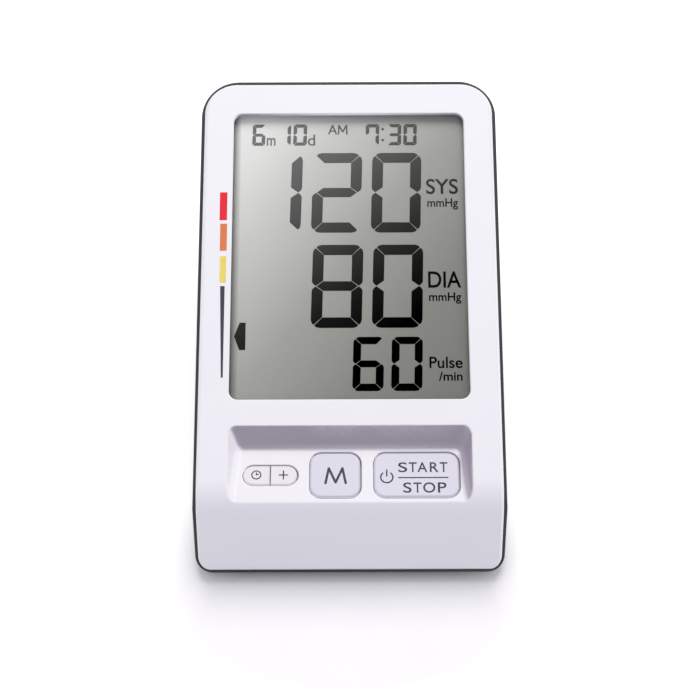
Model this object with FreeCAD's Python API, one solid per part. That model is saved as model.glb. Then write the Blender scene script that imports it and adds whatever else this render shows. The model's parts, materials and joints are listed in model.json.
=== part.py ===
import FreeCAD
import Part
import math
import os

# Desk blood pressure monitor, in millimetres. +Z is up, the sloping face looks towards -Y,
# and the origin is the middle of the footprint, on the table.

# Outer body
BODY_WIDTH = 98.6
PANEL_LENGTH = 150.5
PANEL_SLOPE = 17.0
CHIN_LENGTH = 26.4
CHIN_SLOPE = 70.0
BEND_RADIUS = 15.0
FRONT_CORNER_RADIUS = 3.8
REAR_CORNER_RADIUS = 11.0
EDGE_RADIUS = 1.3
WALL = 2.2

# Seam between the two shells: height of the upper shell's skirt at the chin and at the top edge
FRONT_SKIRT = 2.0
REAR_SKIRT = 2.8
RIM_FRONT = 0.8
RIM_REAR = 1.9
RIM_FRONT_SIDE = 0.9
RIM_WIDEST_SIDE = 2.6
RIM_WIDEST_PLACE = 20.0
RIM_REAR_SIDE = 1.3
RIM_CORNER_RADIUS = 5.8
RIM_THICKNESS = 1.2
RIM_EDGE_RADIUS = 0.35
LIP_HEIGHT = 1.6
LIP_DEPTH = 3.0
LIP_THICKNESS = 1.0
LIP_GAP = 0.15
LIP_START = 46.0
LIP_END_INSET = 52.7

# Lower shell and feet
FRONT_SEAM_HEIGHT = 2.4
BASE_INSET = 0.6
BASE_EDGE_RADIUS = 1.2
BASE_WALL = 2.2
FOOT_HEIGHT = 1.5
FOOT_RADIUS = 4.0
FOOT_SINK = 0.8
FOOT_EDGE_RADIUS = 0.5
FOOT_GAP = 0.05
FRONT_FOOT_SIDE = 12.7
FRONT_FOOT_INSET = 12.0
REAR_FOOT_INSET = 7.5

# Display window and the stack behind it
SIDE_FRAME = 10.0
TOP_FRAME = 11.6
WINDOW_FROM_BEND = 35.2
WINDOW_CORNER_RADIUS = 3.0
WINDOW_EDGE_RADIUS = 0.5
PANE_RECESS = 1.1
PANE_OVERLAP = 1.8
PANE_THICKNESS = 1.5
PANE_GAP = 0.1
LCD_GAP = 0.6
LCD_OVERLAP = 1.2
LCD_FRONT_GLASS = 1.4
LCD_REAR_GLASS = 1.2
LCD_LEDGE = 3.4
LCD_FRAME_GAP = 0.1
LCD_FRAME_WALL = 0.7
LCD_FRAME_LEDGE = 3.0
LCD_FRAME_HEIGHT = 3.0
STRIP_WIDTH = 2.4

# Scooped button well
WELL_SIDE = 10.0
WELL_FROM_BEND = 26.2
WELL_BACK_SLOPE = 60.0
WELL_SIDE_DRAFT = 28.0
WELL_FLOOR_SLOPE = 6.5
WELL_COVE_RADIUS = 3.2
WELL_CORNER_RADIUS = 3.6
WELL_EDGE_RADIUS = 0.8

# Keys, set out from the well's left side to its right, in a row up the floor from the bend
KEY_ROW = 9.75
KEY_LEFT_MARGIN = 5.0
SPLIT_TO_MEMORY = 4.1
MEMORY_TO_START = 4.4
KEY_RIGHT_MARGIN = 4.1
MEMORY_KEY_WIDTH = 16.2
LARGE_KEY_LENGTH = 16.0
LARGE_KEY_CORNER = 3.8
LARGE_KEY_PROUD = 0.35
SPLIT_KEY_WIDTH = 17.4
SPLIT_KEY_LENGTH = 6.8
SPLIT_KEY_PROUD = 0.25
SPLIT_GAP = 0.3
KEY_GAP = 0.3
KEY_HOLE_EDGE = 0.35
LARGE_KEY_EDGE = 0.6
SPLIT_KEY_EDGE = 0.35
KEY_TRAVEL = 0.6
KEY_WALL = 1.4
KEY_FLANGE = 1.0
KEY_FRONT_FLANGE = 0.45
KEY_FLANGE_GAP = 0.1
KEY_RIB = 1.0
STEM_RADIUS = 2.0
STEM_LENGTH = 0.9

# Tact switches and their board
SWITCH_SIZE = 6.0
SWITCH_HEIGHT = 3.2
SWITCH_EDGE = 0.4
PLUNGER_RADIUS = 1.75
PLUNGER_PROUD = 1.0
PLUNGER_DEPTH = 1.2
PLUNGER_GAP = 0.15
SWITCH_FLOOR = 0.4
KEY_BOARD_SIDE = 1.7
KEY_BOARD_LENGTH = 19.0
KEY_BOARD_THICKNESS = 1.6
KEY_POST_RADIUS = 2.1
KEY_POST_PITCH = 12.0
BOARD_CORNER_RADIUS = 1.5

# Main board and what it carries, placed in the plane of the panel
BOARD_SIDE_GAP = 0.95
BOARD_FROM_BEND = 33.4
BOARD_FROM_TOP = 24.5
BOARD_THICKNESS = 1.6
BOARD_BOSS_RADIUS = 2.1
BOARD_BOSS_GAP = 1.3
BOARD_BOSS_LOW_INSET = 11.6
BOARD_BOSS_HIGH_INSET = 8.0
CHIP_SIZE = 14.0
CHIP_HEIGHT = 1.6
CHIP_EDGE = 0.4
CHIP_X = -12.0
CHIP_FROM_BEND = 62.0
BUZZER_RADIUS = 6.0
BUZZER_HEIGHT = 5.0
BUZZER_PORT_RADIUS = 1.0
BUZZER_SIDE = 15.0
BUZZER_FROM_BEND = 56.0
SENSOR_SIZE = 8.0
SENSOR_HEIGHT = 3.5
RIBBON_WIDTH = 12.0
RIBBON_THICKNESS = 0.3
RIBBON_DROP = 5.0
RIBBON_END = 2.5
RIBBON_RADIUS = 2.5

# Screws, bosses and posts
CASE_SHANK_RADIUS = 1.2
CASE_SHANK_LENGTH = 9.0
CASE_HEAD_RADIUS = 2.4
CASE_HEAD_HEIGHT = 1.8
STRAP_SHANK_RADIUS = 1.2
STRAP_SHANK_LENGTH = 7.0
STRAP_HEAD_RADIUS = 2.3
STRAP_HEAD_HEIGHT = 1.6
BOARD_SHANK_RADIUS = 0.9
BOARD_SHANK_LENGTH = 5.0
BOARD_HEAD_RADIUS = 1.9
BOARD_HEAD_HEIGHT = 1.3
SCREW_FIT = 0.02
SCREW_CLEARANCE = 0.2
SCREW_SPARE = 1.0
BOSS_WALL = 1.4
POST_SEAT = 2.5
CASE_BOSS_WALL = 1.0
CASE_BOSS_GAP = 0.5
FRONT_BOSS_FROM_BEND = 30.0
REAR_BOSS_FROM_TOP = 16.1
FRONT_POST_TOP = 12.0
REAR_POST_TOP = 44.0

# AA cells, their compartment, contacts and door
CELL_COUNT = 4
CELL_RADIUS = 7.1
CELL_LENGTH = 49.3
CELL_EDGE = 0.6
CELL_NUB_RADIUS = 2.7
CELL_NUB_LENGTH = 1.2
CELL_GAP = 0.3
SPRING_SPACE = 4.0
PLATE_SPACE = 1.2
BOX_WALL = 1.6
DIVIDER_WIDTH = 1.2
DIVIDER_HEIGHT = 3.0
CONTACT_THICKNESS = 0.4
CONTACT_WIDTH = 9.0
CONTACT_HEIGHT = 10.0
LEAF_WIDTH = 5.0
LEAF_REACH = 3.4
DIMPLE_RADIUS = 2.0
DOOR_THICKNESS = 2.0
DOOR_GAP = 0.3
DOOR_SIDE_MARGIN = 2.0
TONGUE_WIDTH = 1.8
TONGUE_THICKNESS = 0.9
RAIL_TOP = 1.5
DOOR_FRONT_MARGIN = 2.0
DOOR_LIP_TOP = 12.0
GRIP_RADIUS = 0.6
GRIP_LENGTH = 30.0
GRIP_COUNT = 4
GRIP_PITCH = 1.9
GRIP_START = 4.0

# Air pump
MOTOR_RADIUS = 12.0
MOTOR_LENGTH = 32.0
MOTOR_EDGE = 1.2
MOTOR_BOSS_RADIUS = 4.0
MOTOR_BOSS_LENGTH = 1.5
HEAD_RADIUS = 13.0
HEAD_LENGTH = 20.0
HEAD_STEP = 1.5
HEAD_CAP_RADIUS = 10.5
HEAD_CAP_LENGTH = 4.0
SLEEVE_THICKNESS = 1.2
SLEEVE_LENGTH = 26.0
STRAP_THICKNESS = 1.0
STRAP_WIDTH = 14.0
STRAP_EAR = 8.0
PUMP_FROM_BEND = 50.0
PUMP_SIDE_GAP = 2.0
PUMP_CLEARANCE = 1.2
CRADLE_RIB = 2.0
CRADLE_HALF_WIDTH = 10.0
CRADLE_DROP = 4.0
CRADLE_PITCH = 20.0
CRADLE_GAP = 0.05

# Air circuit
HOSE_RADIUS = 2.5
HOSE_BORE_RADIUS = 1.55
HOSE_END_GAP = 0.2
BARB_RADIUS = 1.5
BARB_LENGTH = 4.5
AIR_BORE_RADIUS = 0.7
MANIFOLD_SIZE = 10.0
MANIFOLD_HEIGHT = 9.0
MANIFOLD_EDGE = 0.8
MANIFOLD_INSET = 7.0
SENSOR_HOSE_LIFT = 1.0
PUMP_HOSE_BEND = 8.0
PUMP_HOSE_RUN = 5.0
SOCKET_HOSE_BEND = 6.8
SOCKET_HOSE_RUN = 4.6
VALVE_HOSE_SPAN = 13.0
LEAK_VALVE_RADIUS = 3.0
LEAK_VALVE_LENGTH = 7.0
VALVE_LENGTH = 20.0
VALVE_WIDTH = 14.0
VALVE_HEIGHT = 13.0
VALVE_PLATE = 1.2
VALVE_COIL_RADIUS = 5.8

# Cuff socket on the left and low-voltage inlet on the right
SOCKET_RADIUS = 5.0
SOCKET_COLLAR_RADIUS = 6.2
SOCKET_COLLAR = 0.8
SOCKET_BORE_RADIUS = 2.3
SOCKET_BORE_LENGTH = 12.0
SOCKET_FLANGE_RADIUS = 6.8
SOCKET_FLANGE = 1.4
SOCKET_END_WALL = 2.0
GASKET_THICKNESS = 0.6
SIDE_FIT = 0.05
INLET_LIFT = 0.6
INLET_BODY_LENGTH = 12.0
INLET_BODY_WIDTH = 9.0
INLET_BODY_HEIGHT = 11.0
INLET_NOSE_RADIUS = 4.3
INLET_BORE_RADIUS = 2.8
INLET_BORE_LENGTH = 9.5
INLET_PIN_RADIUS = 1.05
INLET_PIN_RECESS = 0.6
INLET_SHELF = 1.5

# Shank radius, shank length, head radius and head height of each kind of screw
CASE_SCREW = (CASE_SHANK_RADIUS, CASE_SHANK_LENGTH, CASE_HEAD_RADIUS, CASE_HEAD_HEIGHT)
STRAP_SCREW = (STRAP_SHANK_RADIUS, STRAP_SHANK_LENGTH, STRAP_HEAD_RADIUS, STRAP_HEAD_HEIGHT)
BOARD_SCREW = (BOARD_SHANK_RADIUS, BOARD_SHANK_LENGTH, BOARD_HEAD_RADIUS, BOARD_HEAD_HEIGHT)

V = FreeCAD.Vector
X_AXIS = V(1, 0, 0)
Y_AXIS = V(0, 1, 0)
Z_AXIS = V(0, 0, 1)
CUT_MARGIN = 2.0
TOUCH = 1e-4


def along(degrees):
    """Unit vector that climbs to the rear at this slope."""
    angle = math.radians(degrees)
    return V(0, math.cos(angle), math.sin(angle))


def out_of(degrees):
    """Unit vector that stands square on a face of this slope."""
    angle = math.radians(degrees)
    return V(0, -math.sin(angle), math.cos(angle))


def slope_frame(origin, degrees):
    """Local frame with x across, y up the slope and z out of it."""
    return FreeCAD.Placement(origin, FreeCAD.Rotation(X_AXIS, degrees))


# Side view: the chin rises from its foot to the bend, and the panel from the bend to the top edge
face_reach = along(CHIN_SLOPE) * CHIN_LENGTH + along(PANEL_SLOPE) * PANEL_LENGTH
skirt_turn = math.asin((REAR_SKIRT - FRONT_SKIRT) / face_reach.Length)
SEAM_SLOPE = math.degrees(math.atan2(face_reach.z, face_reach.y) - skirt_turn)
SEAM_LENGTH = face_reach.dot(along(SEAM_SLOPE))
seam_reach = along(SEAM_SLOPE) * SEAM_LENGTH - out_of(SEAM_SLOPE) * RIM_THICKNESS
seam_front = V(0, -seam_reach.y / 2, FOOT_HEIGHT + FRONT_SEAM_HEIGHT)
seam_rear = seam_front + along(SEAM_SLOPE) * SEAM_LENGTH
chin_foot = seam_front + out_of(SEAM_SLOPE) * FRONT_SKIRT
bend = chin_foot + along(CHIN_SLOPE) * CHIN_LENGTH
top_edge = bend + along(PANEL_SLOPE) * PANEL_LENGTH

# The bend's arc, inside the corner of panel and chin
bend_inward = (along(PANEL_SLOPE) - along(CHIN_SLOPE)).normalize()
bend_half_angle = math.radians(180 - CHIN_SLOPE + PANEL_SLOPE) / 2
bend_centre = bend + bend_inward * (BEND_RADIUS / math.sin(bend_half_angle))
bend_middle = bend_centre - bend_inward * BEND_RADIUS

SEAM = slope_frame(seam_front, SEAM_SLOPE)
PANEL = slope_frame(bend, PANEL_SLOPE)
FLOOR = slope_frame(bend_middle, WELL_FLOOR_SLOPE)

# Lower shell in plan
HALF_WIDTH = BODY_WIDTH / 2
WINDOW_WIDTH = BODY_WIDTH - 2 * SIDE_FRAME
WINDOW_LENGTH = PANEL_LENGTH - WINDOW_FROM_BEND - TOP_FRAME
WELL_WIDTH = BODY_WIDTH - 2 * WELL_SIDE
BASE_HALF_WIDTH = HALF_WIDTH - BASE_INSET
INNER_HALF_WIDTH = BASE_HALF_WIDTH - BASE_WALL
BASE_FRONT = seam_front.y + BASE_INSET
BASE_REAR = seam_rear.y - BASE_INSET
INNER_REAR = BASE_REAR - BASE_WALL
BASE_BOTTOM = FOOT_HEIGHT
BASE_TOP = BASE_BOTTOM + BASE_WALL
REACH = BODY_WIDTH + PANEL_LENGTH

# Levels behind the panel face, measured square to it
PANE_FACE = -PANE_RECESS
PANE_BACK = PANE_FACE - PANE_THICKNESS
LCD_FACE = PANE_BACK - LCD_GAP
LCD_BACK = LCD_FACE - LCD_FRONT_GLASS - LCD_REAR_GLASS
BOARD_FACE = LCD_BACK - LCD_FRAME_HEIGHT
BOARD_BACK = BOARD_FACE - BOARD_THICKNESS
WINDOW_END = WINDOW_FROM_BEND + WINDOW_LENGTH
BOARD_END = PANEL_LENGTH - BOARD_FROM_TOP
BOARD_WIDTH = BODY_WIDTH - 2 * (WALL + LIP_GAP + LIP_THICKNESS + BOARD_SIDE_GAP)
BOARD_BOSS_X = HALF_WIDTH - WALL - BOARD_BOSS_GAP - BOARD_BOSS_RADIUS
BUZZER_X = BOARD_WIDTH / 2 - BUZZER_SIDE
CASE_BOSS_RADIUS = CASE_SHANK_RADIUS + CASE_BOSS_WALL
CASE_BOSS_X = INNER_HALF_WIDTH - CASE_BOSS_GAP - CASE_BOSS_RADIUS

# Keys across the well
SPLIT_KEY_LEFT = -WELL_WIDTH / 2 + KEY_LEFT_MARGIN
MEMORY_KEY_LEFT = SPLIT_KEY_LEFT + SPLIT_KEY_WIDTH + SPLIT_TO_MEMORY
START_KEY_LEFT = MEMORY_KEY_LEFT + MEMORY_KEY_WIDTH + MEMORY_TO_START
START_KEY_WIDTH = WELL_WIDTH / 2 - KEY_RIGHT_MARGIN - START_KEY_LEFT
SPLIT_KEY_X = SPLIT_KEY_LEFT + SPLIT_KEY_WIDTH / 2
MEMORY_KEY_X = MEMORY_KEY_LEFT + MEMORY_KEY_WIDTH / 2
START_KEY_X = START_KEY_LEFT + START_KEY_WIDTH / 2
KEY_BOARD_WIDTH = WELL_WIDTH + 2 * KEY_BOARD_SIDE
KEY_POST_X = KEY_BOARD_WIDTH / 2 - KEY_POST_RADIUS

# Levels under the well floor, measured square to it
FLANGE_TOP = -WALL - KEY_FLANGE_GAP
FLANGE_BOTTOM = FLANGE_TOP - KEY_FLANGE
STEM_BOTTOM = FLANGE_BOTTOM - STEM_LENGTH
SWITCH_TOP = STEM_BOTTOM - PLUNGER_PROUD
KEY_BOARD_TOP = SWITCH_TOP - SWITCH_HEIGHT
KEY_BOARD_BOTTOM = KEY_BOARD_TOP - KEY_BOARD_THICKNESS

# Battery compartment, door and the shelf over the cells
CELL_PITCH = 2 * CELL_RADIUS + 2 * CELL_GAP
BOX_HALF_WIDTH = CELL_COUNT * CELL_PITCH / 2
BOX_LENGTH = CELL_LENGTH + CELL_NUB_LENGTH + SPRING_SPACE + PLATE_SPACE
BOX_REAR = INNER_REAR - DOOR_GAP - BOX_WALL
BOX_FRONT = BOX_REAR - BOX_LENGTH
DOOR_TOP = BASE_BOTTOM + DOOR_THICKNESS
CELL_Z = DOOR_TOP + CELL_GAP + CELL_RADIUS
BOX_CEILING = CELL_Z + CELL_RADIUS + CELL_GAP
BOX_TOP = BOX_CEILING + BOX_WALL
DOOR_HALF_WIDTH = BOX_HALF_WIDTH + DOOR_SIDE_MARGIN
TONGUE_HALF_WIDTH = DOOR_HALF_WIDTH + TONGUE_WIDTH
LIP_HALF_WIDTH = TONGUE_HALF_WIDTH + DOOR_GAP
RAIL_HALF_WIDTH = LIP_HALF_WIDTH + BOX_WALL
FRONT_FOOT_X = BASE_HALF_WIDTH - FRONT_FOOT_SIDE
REAR_FOOT_X = (RAIL_HALF_WIDTH + BASE_HALF_WIDTH) / 2
DOOR_FRONT = BOX_FRONT - DOOR_FRONT_MARGIN

# Pump and air circuit
PUMP_Y = bend.y + PUMP_FROM_BEND
SLEEVE_RADIUS = MOTOR_RADIUS + SLEEVE_THICKNESS
PUMP_Z = BASE_TOP + PUMP_CLEARANCE + SLEEVE_RADIUS
PUMP_JOIN_X = -INNER_HALF_WIDTH + PUMP_SIDE_GAP + MOTOR_BOSS_LENGTH + MOTOR_LENGTH
SLEEVE_X = PUMP_JOIN_X - MOTOR_LENGTH / 2
HEAD_FACE = PUMP_JOIN_X + HEAD_LENGTH + HEAD_CAP_LENGTH
HOSE_Z = BOX_TOP + MANIFOLD_HEIGHT / 2
MANIFOLD_X = HEAD_FACE + PUMP_HOSE_RUN + PUMP_HOSE_BEND
MANIFOLD_Y = BOX_FRONT + MANIFOLD_INSET
MANIFOLD_LEFT = MANIFOLD_X - MANIFOLD_SIZE / 2
MANIFOLD_RIGHT = MANIFOLD_X + MANIFOLD_SIZE / 2
MANIFOLD_NEAR = MANIFOLD_Y - MANIFOLD_SIZE / 2
MANIFOLD_FAR = MANIFOLD_Y + MANIFOLD_SIZE / 2
MANIFOLD_TOP = BOX_TOP + MANIFOLD_HEIGHT
VALVE_RIGHT = MANIFOLD_LEFT - VALVE_HOSE_SPAN
VALVE_X = VALVE_RIGHT - VALVE_LENGTH / 2
SOCKET_Y = MANIFOLD_FAR + SOCKET_HOSE_BEND + SOCKET_HOSE_RUN
INLET_Y = SOCKET_Y
INLET_Z = BOX_TOP + INLET_LIFT + INLET_BODY_HEIGHT / 2
SOCKET_INNER_END = -BASE_HALF_WIDTH + SOCKET_BORE_LENGTH + SOCKET_END_WALL
port_place = PANEL.inverse().multVec(V(MANIFOLD_X, MANIFOLD_Y, MANIFOLD_TOP))


def placed(shape, frame):
    """Copy of a shape, moved from a local frame to the object's frame."""
    moved = shape.copy()
    moved.Placement = frame.multiply(moved.Placement)
    return moved


def box(x_range, y_range, z_range):
    """Block between pairs of limits."""
    size = [limits[1] - limits[0] for limits in (x_range, y_range, z_range)]
    return Part.makeBox(*size, V(x_range[0], y_range[0], z_range[0]))


def rod(radius, start, end):
    """Round bar between two points."""
    return Part.makeCylinder(radius, (end - start).Length, start, end - start)


def turned(points, start, axis):
    """Solid of revolution from (distance along the axis, radius) corners, both ends on the axis."""
    profile = Part.makePolygon([V(0, r, d) for d, r in points + [points[0]]])
    solid = Part.Face(profile).revolve(V(0, 0, 0), Z_AXIS, 360)
    solid.Placement = FreeCAD.Placement(start, FreeCAD.Rotation(Z_AXIS, axis))
    return Part.Solid(solid) if solid.ShapeType == "Shell" else solid


def rounded_outline(x_range, y_range, front_radius, rear_radius, z=0):
    """Flat face: a rectangle with one radius on its two front corners and one on its two rear corners."""
    left, right = x_range
    front, rear = y_range
    diagonal = math.sqrt(0.5)
    corners = [
        (right - rear_radius, rear - rear_radius, rear_radius, 1, 1),
        (left + rear_radius, rear - rear_radius, rear_radius, -1, 1),
        (left + front_radius, front + front_radius, front_radius, -1, -1),
        (right - front_radius, front + front_radius, front_radius, 1, -1),
    ]
    arcs = []
    for x, y, radius, side, end in corners:
        on_side = V(x + side * radius, y, z)
        on_end = V(x, y + end * radius, z)
        middle = V(x + side * radius * diagonal, y + end * radius * diagonal, z)
        first, last = (on_side, on_end) if side == end else (on_end, on_side)
        arcs.append((first, middle, last))
    edges = []
    for index, (first, middle, last) in enumerate(arcs):
        edges.append(Part.Arc(first, middle, last).toShape())
        edges.append(Part.LineSegment(last, arcs[(index + 1) % len(arcs)][0]).toShape())
    return Part.Face(Part.Wire(edges))


def rounded_block(x_range, y_range, z_range, radius):
    """Block with four round upright corners."""
    face = rounded_outline(x_range, y_range, radius, radius, z_range[0])
    return face.extrude(V(0, 0, z_range[1] - z_range[0]))


def centred(middle, size):
    """Pair of limits of this size about a middle."""
    return (middle - size / 2, middle + size / 2)


def edges_where(shape, test):
    """Edges whose start, middle and end all pass a test on a point."""
    chosen = []
    for edge in shape.Edges:
        first, last = edge.ParameterRange
        points = [edge.valueAt(first), edge.valueAt((first + last) / 2), edge.valueAt(last)]
        if all(test(point) for point in points):
            chosen.append(edge)
    return chosen


def eased_top(shape, level, radius):
    """Shape with a round along every edge of its flat top."""
    return shape.makeFillet(radius, edges_where(shape, lambda p: abs(p.z - level) < TOUCH))


def fused(shapes):
    """One solid from touching or overlapping shapes."""
    return shapes[0].multiFuse(shapes[1:]).removeSplitter()


def round_path(points, radius):
    """Wire of straight runs joined by tangent arcs of one radius."""
    edges = []
    start = points[0]
    for before, corner, after in zip(points, points[1:], points[2:]):
        back = (before - corner).normalize()
        on = (after - corner).normalize()
        half_angle = back.getAngle(on) / 2
        inset = radius / math.tan(half_angle)
        centre = corner + (back + on).normalize() * (radius / math.sin(half_angle))
        middle = centre + (corner - centre).normalize() * radius
        edges.append(Part.LineSegment(start, corner + back * inset).toShape())
        edges.append(Part.Arc(corner + back * inset, middle, corner + on * inset).toShape())
        start = corner + on * inset
    edges.append(Part.LineSegment(start, points[-1]).toShape())
    return Part.Wire(edges)


def swept_rod(path, radius):
    """Round bar along a wire."""
    heading = path.Edges[0].tangentAt(path.Edges[0].FirstParameter)
    ring = Part.Wire(Part.makeCircle(radius, path.Edges[0].valueAt(path.Edges[0].FirstParameter), heading))
    return path.makePipeShell([ring], True, False)


def hose(points, radius):
    """Soft tube along straight runs and arcs of this radius."""
    path = round_path(points, radius)
    return swept_rod(path, HOSE_RADIUS).cut(swept_rod(path, HOSE_BORE_RADIUS))


def bent_strip(points, radius, thickness, width, x):
    """Flat strip of one thickness, bent along points in side view and centred across at x."""
    path = round_path(points, radius)
    face = path.makeOffset2D(thickness / 2, fill=True, openResult=True, join=2)
    strip = face.extrude(X_AXIS * width)
    strip.translate(X_AXIS * (x - width / 2))
    return strip


def skin_prism(depth):
    """Everything under the panel, bend and chin faces, taken in by a depth."""
    chin_tangent = bend_centre + out_of(CHIN_SLOPE) * (BEND_RADIUS - depth)
    panel_tangent = bend_centre + out_of(PANEL_SLOPE) * (BEND_RADIUS - depth)
    arc_middle = bend_centre - bend_inward * (BEND_RADIUS - depth)
    low_front = chin_tangent - along(CHIN_SLOPE) * CHIN_LENGTH
    high_rear = panel_tangent + along(PANEL_SLOPE) * PANEL_LENGTH
    low_rear = V(0, high_rear.y, low_front.z)
    edges = [
        Part.LineSegment(low_front, chin_tangent).toShape(),
        Part.Arc(chin_tangent, arc_middle, panel_tangent).toShape(),
        Part.LineSegment(panel_tangent, high_rear).toShape(),
        Part.LineSegment(high_rear, low_rear).toShape(),
        Part.LineSegment(low_rear, low_front).toShape(),
    ]
    face = Part.Face(Part.Wire(edges))
    face.translate(X_AXIS * -REACH)
    return face.extrude(X_AXIS * (2 * REACH))


def seam_slab(inset, z_range):
    """Slab on the seam plane inside the body outline, taken in by an inset."""
    face = rounded_outline(
        (-HALF_WIDTH + inset, HALF_WIDTH - inset),
        (inset, SEAM_LENGTH - inset),
        FRONT_CORNER_RADIUS - inset,
        REAR_CORNER_RADIUS - inset,
        z_range[0],
    )
    return placed(face.extrude(V(0, 0, z_range[1] - z_range[0])), SEAM)


def well_scoop(grow):
    """Space of the button well, with its walls and floor moved outwards by an offset."""
    side_slant = math.tan(math.radians(WELL_SIDE_DRAFT))
    back_angle = math.radians(WELL_BACK_SLOPE - PANEL_SLOPE)
    side_shift = grow / math.cos(math.radians(WELL_SIDE_DRAFT))
    back_shift = grow / math.sin(back_angle)
    low = -WELL_FROM_BEND / 2
    high = WELL_FROM_BEND / 2
    rings = []
    for level in (low, high):
        half = WELL_WIDTH / 2 + side_shift + level * side_slant
        back = WELL_FROM_BEND + back_shift + level / math.tan(back_angle)
        front = -CHIN_LENGTH
        corners = ((-half, front), (half, front), (half, back), (-half, back))
        rings.append([V(x, y, level) for x, y in corners])
    faces = [Part.Face(Part.makePolygon(ring + ring[:1])) for ring in rings]
    for index in range(4):
        after = (index + 1) % 4
        side = [rings[0][index], rings[0][after], rings[1][after], rings[1][index]]
        faces.append(Part.Face(Part.makePolygon(side + side[:1])))
    funnel = placed(Part.Solid(Part.Shell(faces)), PANEL)
    above_floor = placed(box((-REACH, REACH), (-REACH, REACH), (-grow, REACH)), FLOOR)
    scoop = funnel.common(above_floor)
    to_panel = PANEL.inverse()
    to_floor = FLOOR.inverse()

    def on_back(point):
        local = to_panel.multVec(point)
        return abs(local.y - WELL_FROM_BEND - back_shift - local.z / math.tan(back_angle)) < TOUCH

    def on_side(point):
        local = to_panel.multVec(point)
        return abs(abs(local.x) - WELL_WIDTH / 2 - side_shift - local.z * side_slant) < TOUCH

    def on_floor(point):
        return abs(to_floor.multVec(point).z + grow) < TOUCH

    corners = edges_where(scoop, lambda p: on_back(p) and on_side(p))
    scoop = scoop.makeFillet(WELL_CORNER_RADIUS + grow, corners)
    front_edge = -CHIN_LENGTH
    cove = edges_where(scoop, lambda p: on_floor(p))
    cove = [edge for edge in cove if to_panel.multVec(edge.CenterOfMass).y > front_edge + TOUCH]
    return scoop.makeFillet(WELL_COVE_RADIUS + grow, cove)


def key_outline(name, grow, z_range):
    """Prism of one key's outline on the well floor, grown by an offset."""
    large = {"memory": (MEMORY_KEY_X, MEMORY_KEY_WIDTH), "start": (START_KEY_X, START_KEY_WIDTH)}
    if name in large:
        x, width = large[name]
        x_range = centred(x, width + 2 * grow)
        y_range = centred(KEY_ROW, LARGE_KEY_LENGTH + 2 * grow)
        return rounded_block(x_range, y_range, z_range, LARGE_KEY_CORNER + grow)
    x_range = centred(SPLIT_KEY_X, SPLIT_KEY_WIDTH + 2 * grow)
    y_range = centred(KEY_ROW, SPLIT_KEY_LENGTH + 2 * grow)
    radius = SPLIT_KEY_LENGTH / 2 + grow
    centres = (x_range[0] + radius, x_range[1] - radius)
    ends = [rod(radius, V(x, KEY_ROW, z_range[0]), V(x, KEY_ROW, z_range[1])) for x in centres]
    pill = fused([box(centres, y_range, z_range)] + ends)
    if name == "split":
        return pill
    near = SPLIT_KEY_X - SPLIT_GAP / 2
    far = SPLIT_KEY_X + SPLIT_GAP / 2
    half = (x_range[0], near) if name == "time" else (far, x_range[1])
    return pill.common(box(half, y_range, z_range))


# Middle, height over the floor and edge radius of each key
KEYS = {
    "time": (SPLIT_KEY_X - (SPLIT_KEY_WIDTH + SPLIT_GAP) / 4, SPLIT_KEY_PROUD, SPLIT_KEY_EDGE),
    "plus": (SPLIT_KEY_X + (SPLIT_KEY_WIDTH + SPLIT_GAP) / 4, SPLIT_KEY_PROUD, SPLIT_KEY_EDGE),
    "memory": (MEMORY_KEY_X, LARGE_KEY_PROUD, LARGE_KEY_EDGE),
    "start": (START_KEY_X, LARGE_KEY_PROUD, LARGE_KEY_EDGE),
}
KEY_HOLES = ("split", "memory", "start")


def key_cap(name):
    """Moulded key: rounded cap through the floor, a flange under it, and a stem to its switch."""
    x, proud, edge_radius = KEYS[name]
    cap = eased_top(key_outline(name, 0, (FLANGE_BOTTOM, proud)), proud, edge_radius)
    flange = key_outline(name, KEY_GAP + KEY_FLANGE, (FLANGE_BOTTOM, FLANGE_TOP))
    flange_front = KEY_ROW - LARGE_KEY_LENGTH / 2 - KEY_GAP - KEY_FRONT_FLANGE
    flange = flange.common(box((-REACH, REACH), (flange_front, REACH), (FLANGE_BOTTOM, FLANGE_TOP)))
    stem = rod(STEM_RADIUS, V(x, KEY_ROW, STEM_BOTTOM), V(x, KEY_ROW, proud - KEY_WALL))
    key = cap.fuse(flange)
    if name in ("memory", "start"):
        roof = proud - KEY_WALL
        hollow = key_outline(name, -KEY_WALL, (FLANGE_BOTTOM - CUT_MARGIN, roof))
        ribs = [
            box(centred(x, 2 * START_KEY_WIDTH), centred(KEY_ROW, KEY_RIB), (FLANGE_BOTTOM, roof)),
            box(centred(x, KEY_RIB), centred(KEY_ROW, 2 * LARGE_KEY_LENGTH), (FLANGE_BOTTOM, roof)),
        ]
        key = key.cut(hollow.cut(fused(ribs)))
    return placed(fused([key, stem]), FLOOR)


def switch_plunger(name):
    """Round button of a tact switch, moved by its key."""
    x = KEYS[name][0]
    foot = V(x, KEY_ROW, SWITCH_TOP - PLUNGER_DEPTH)
    return placed(rod(PLUNGER_RADIUS, foot, V(x, KEY_ROW, STEM_BOTTOM)), FLOOR)


def switch_housing(name):
    """Square housing of a tact switch, open for its plunger, on the key board."""
    x = KEYS[name][0]
    body = rounded_block(
        centred(x, SWITCH_SIZE), centred(KEY_ROW, SWITCH_SIZE), (KEY_BOARD_TOP, SWITCH_TOP), SWITCH_EDGE
    )
    depth = PLUNGER_DEPTH + KEY_TRAVEL + SWITCH_FLOOR
    well_floor = V(x, KEY_ROW, SWITCH_TOP - depth)
    well = rod(PLUNGER_RADIUS + PLUNGER_GAP, well_floor, V(x, KEY_ROW, SWITCH_TOP + CUT_MARGIN))
    return placed(body.cut(well), FLOOR)


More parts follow.
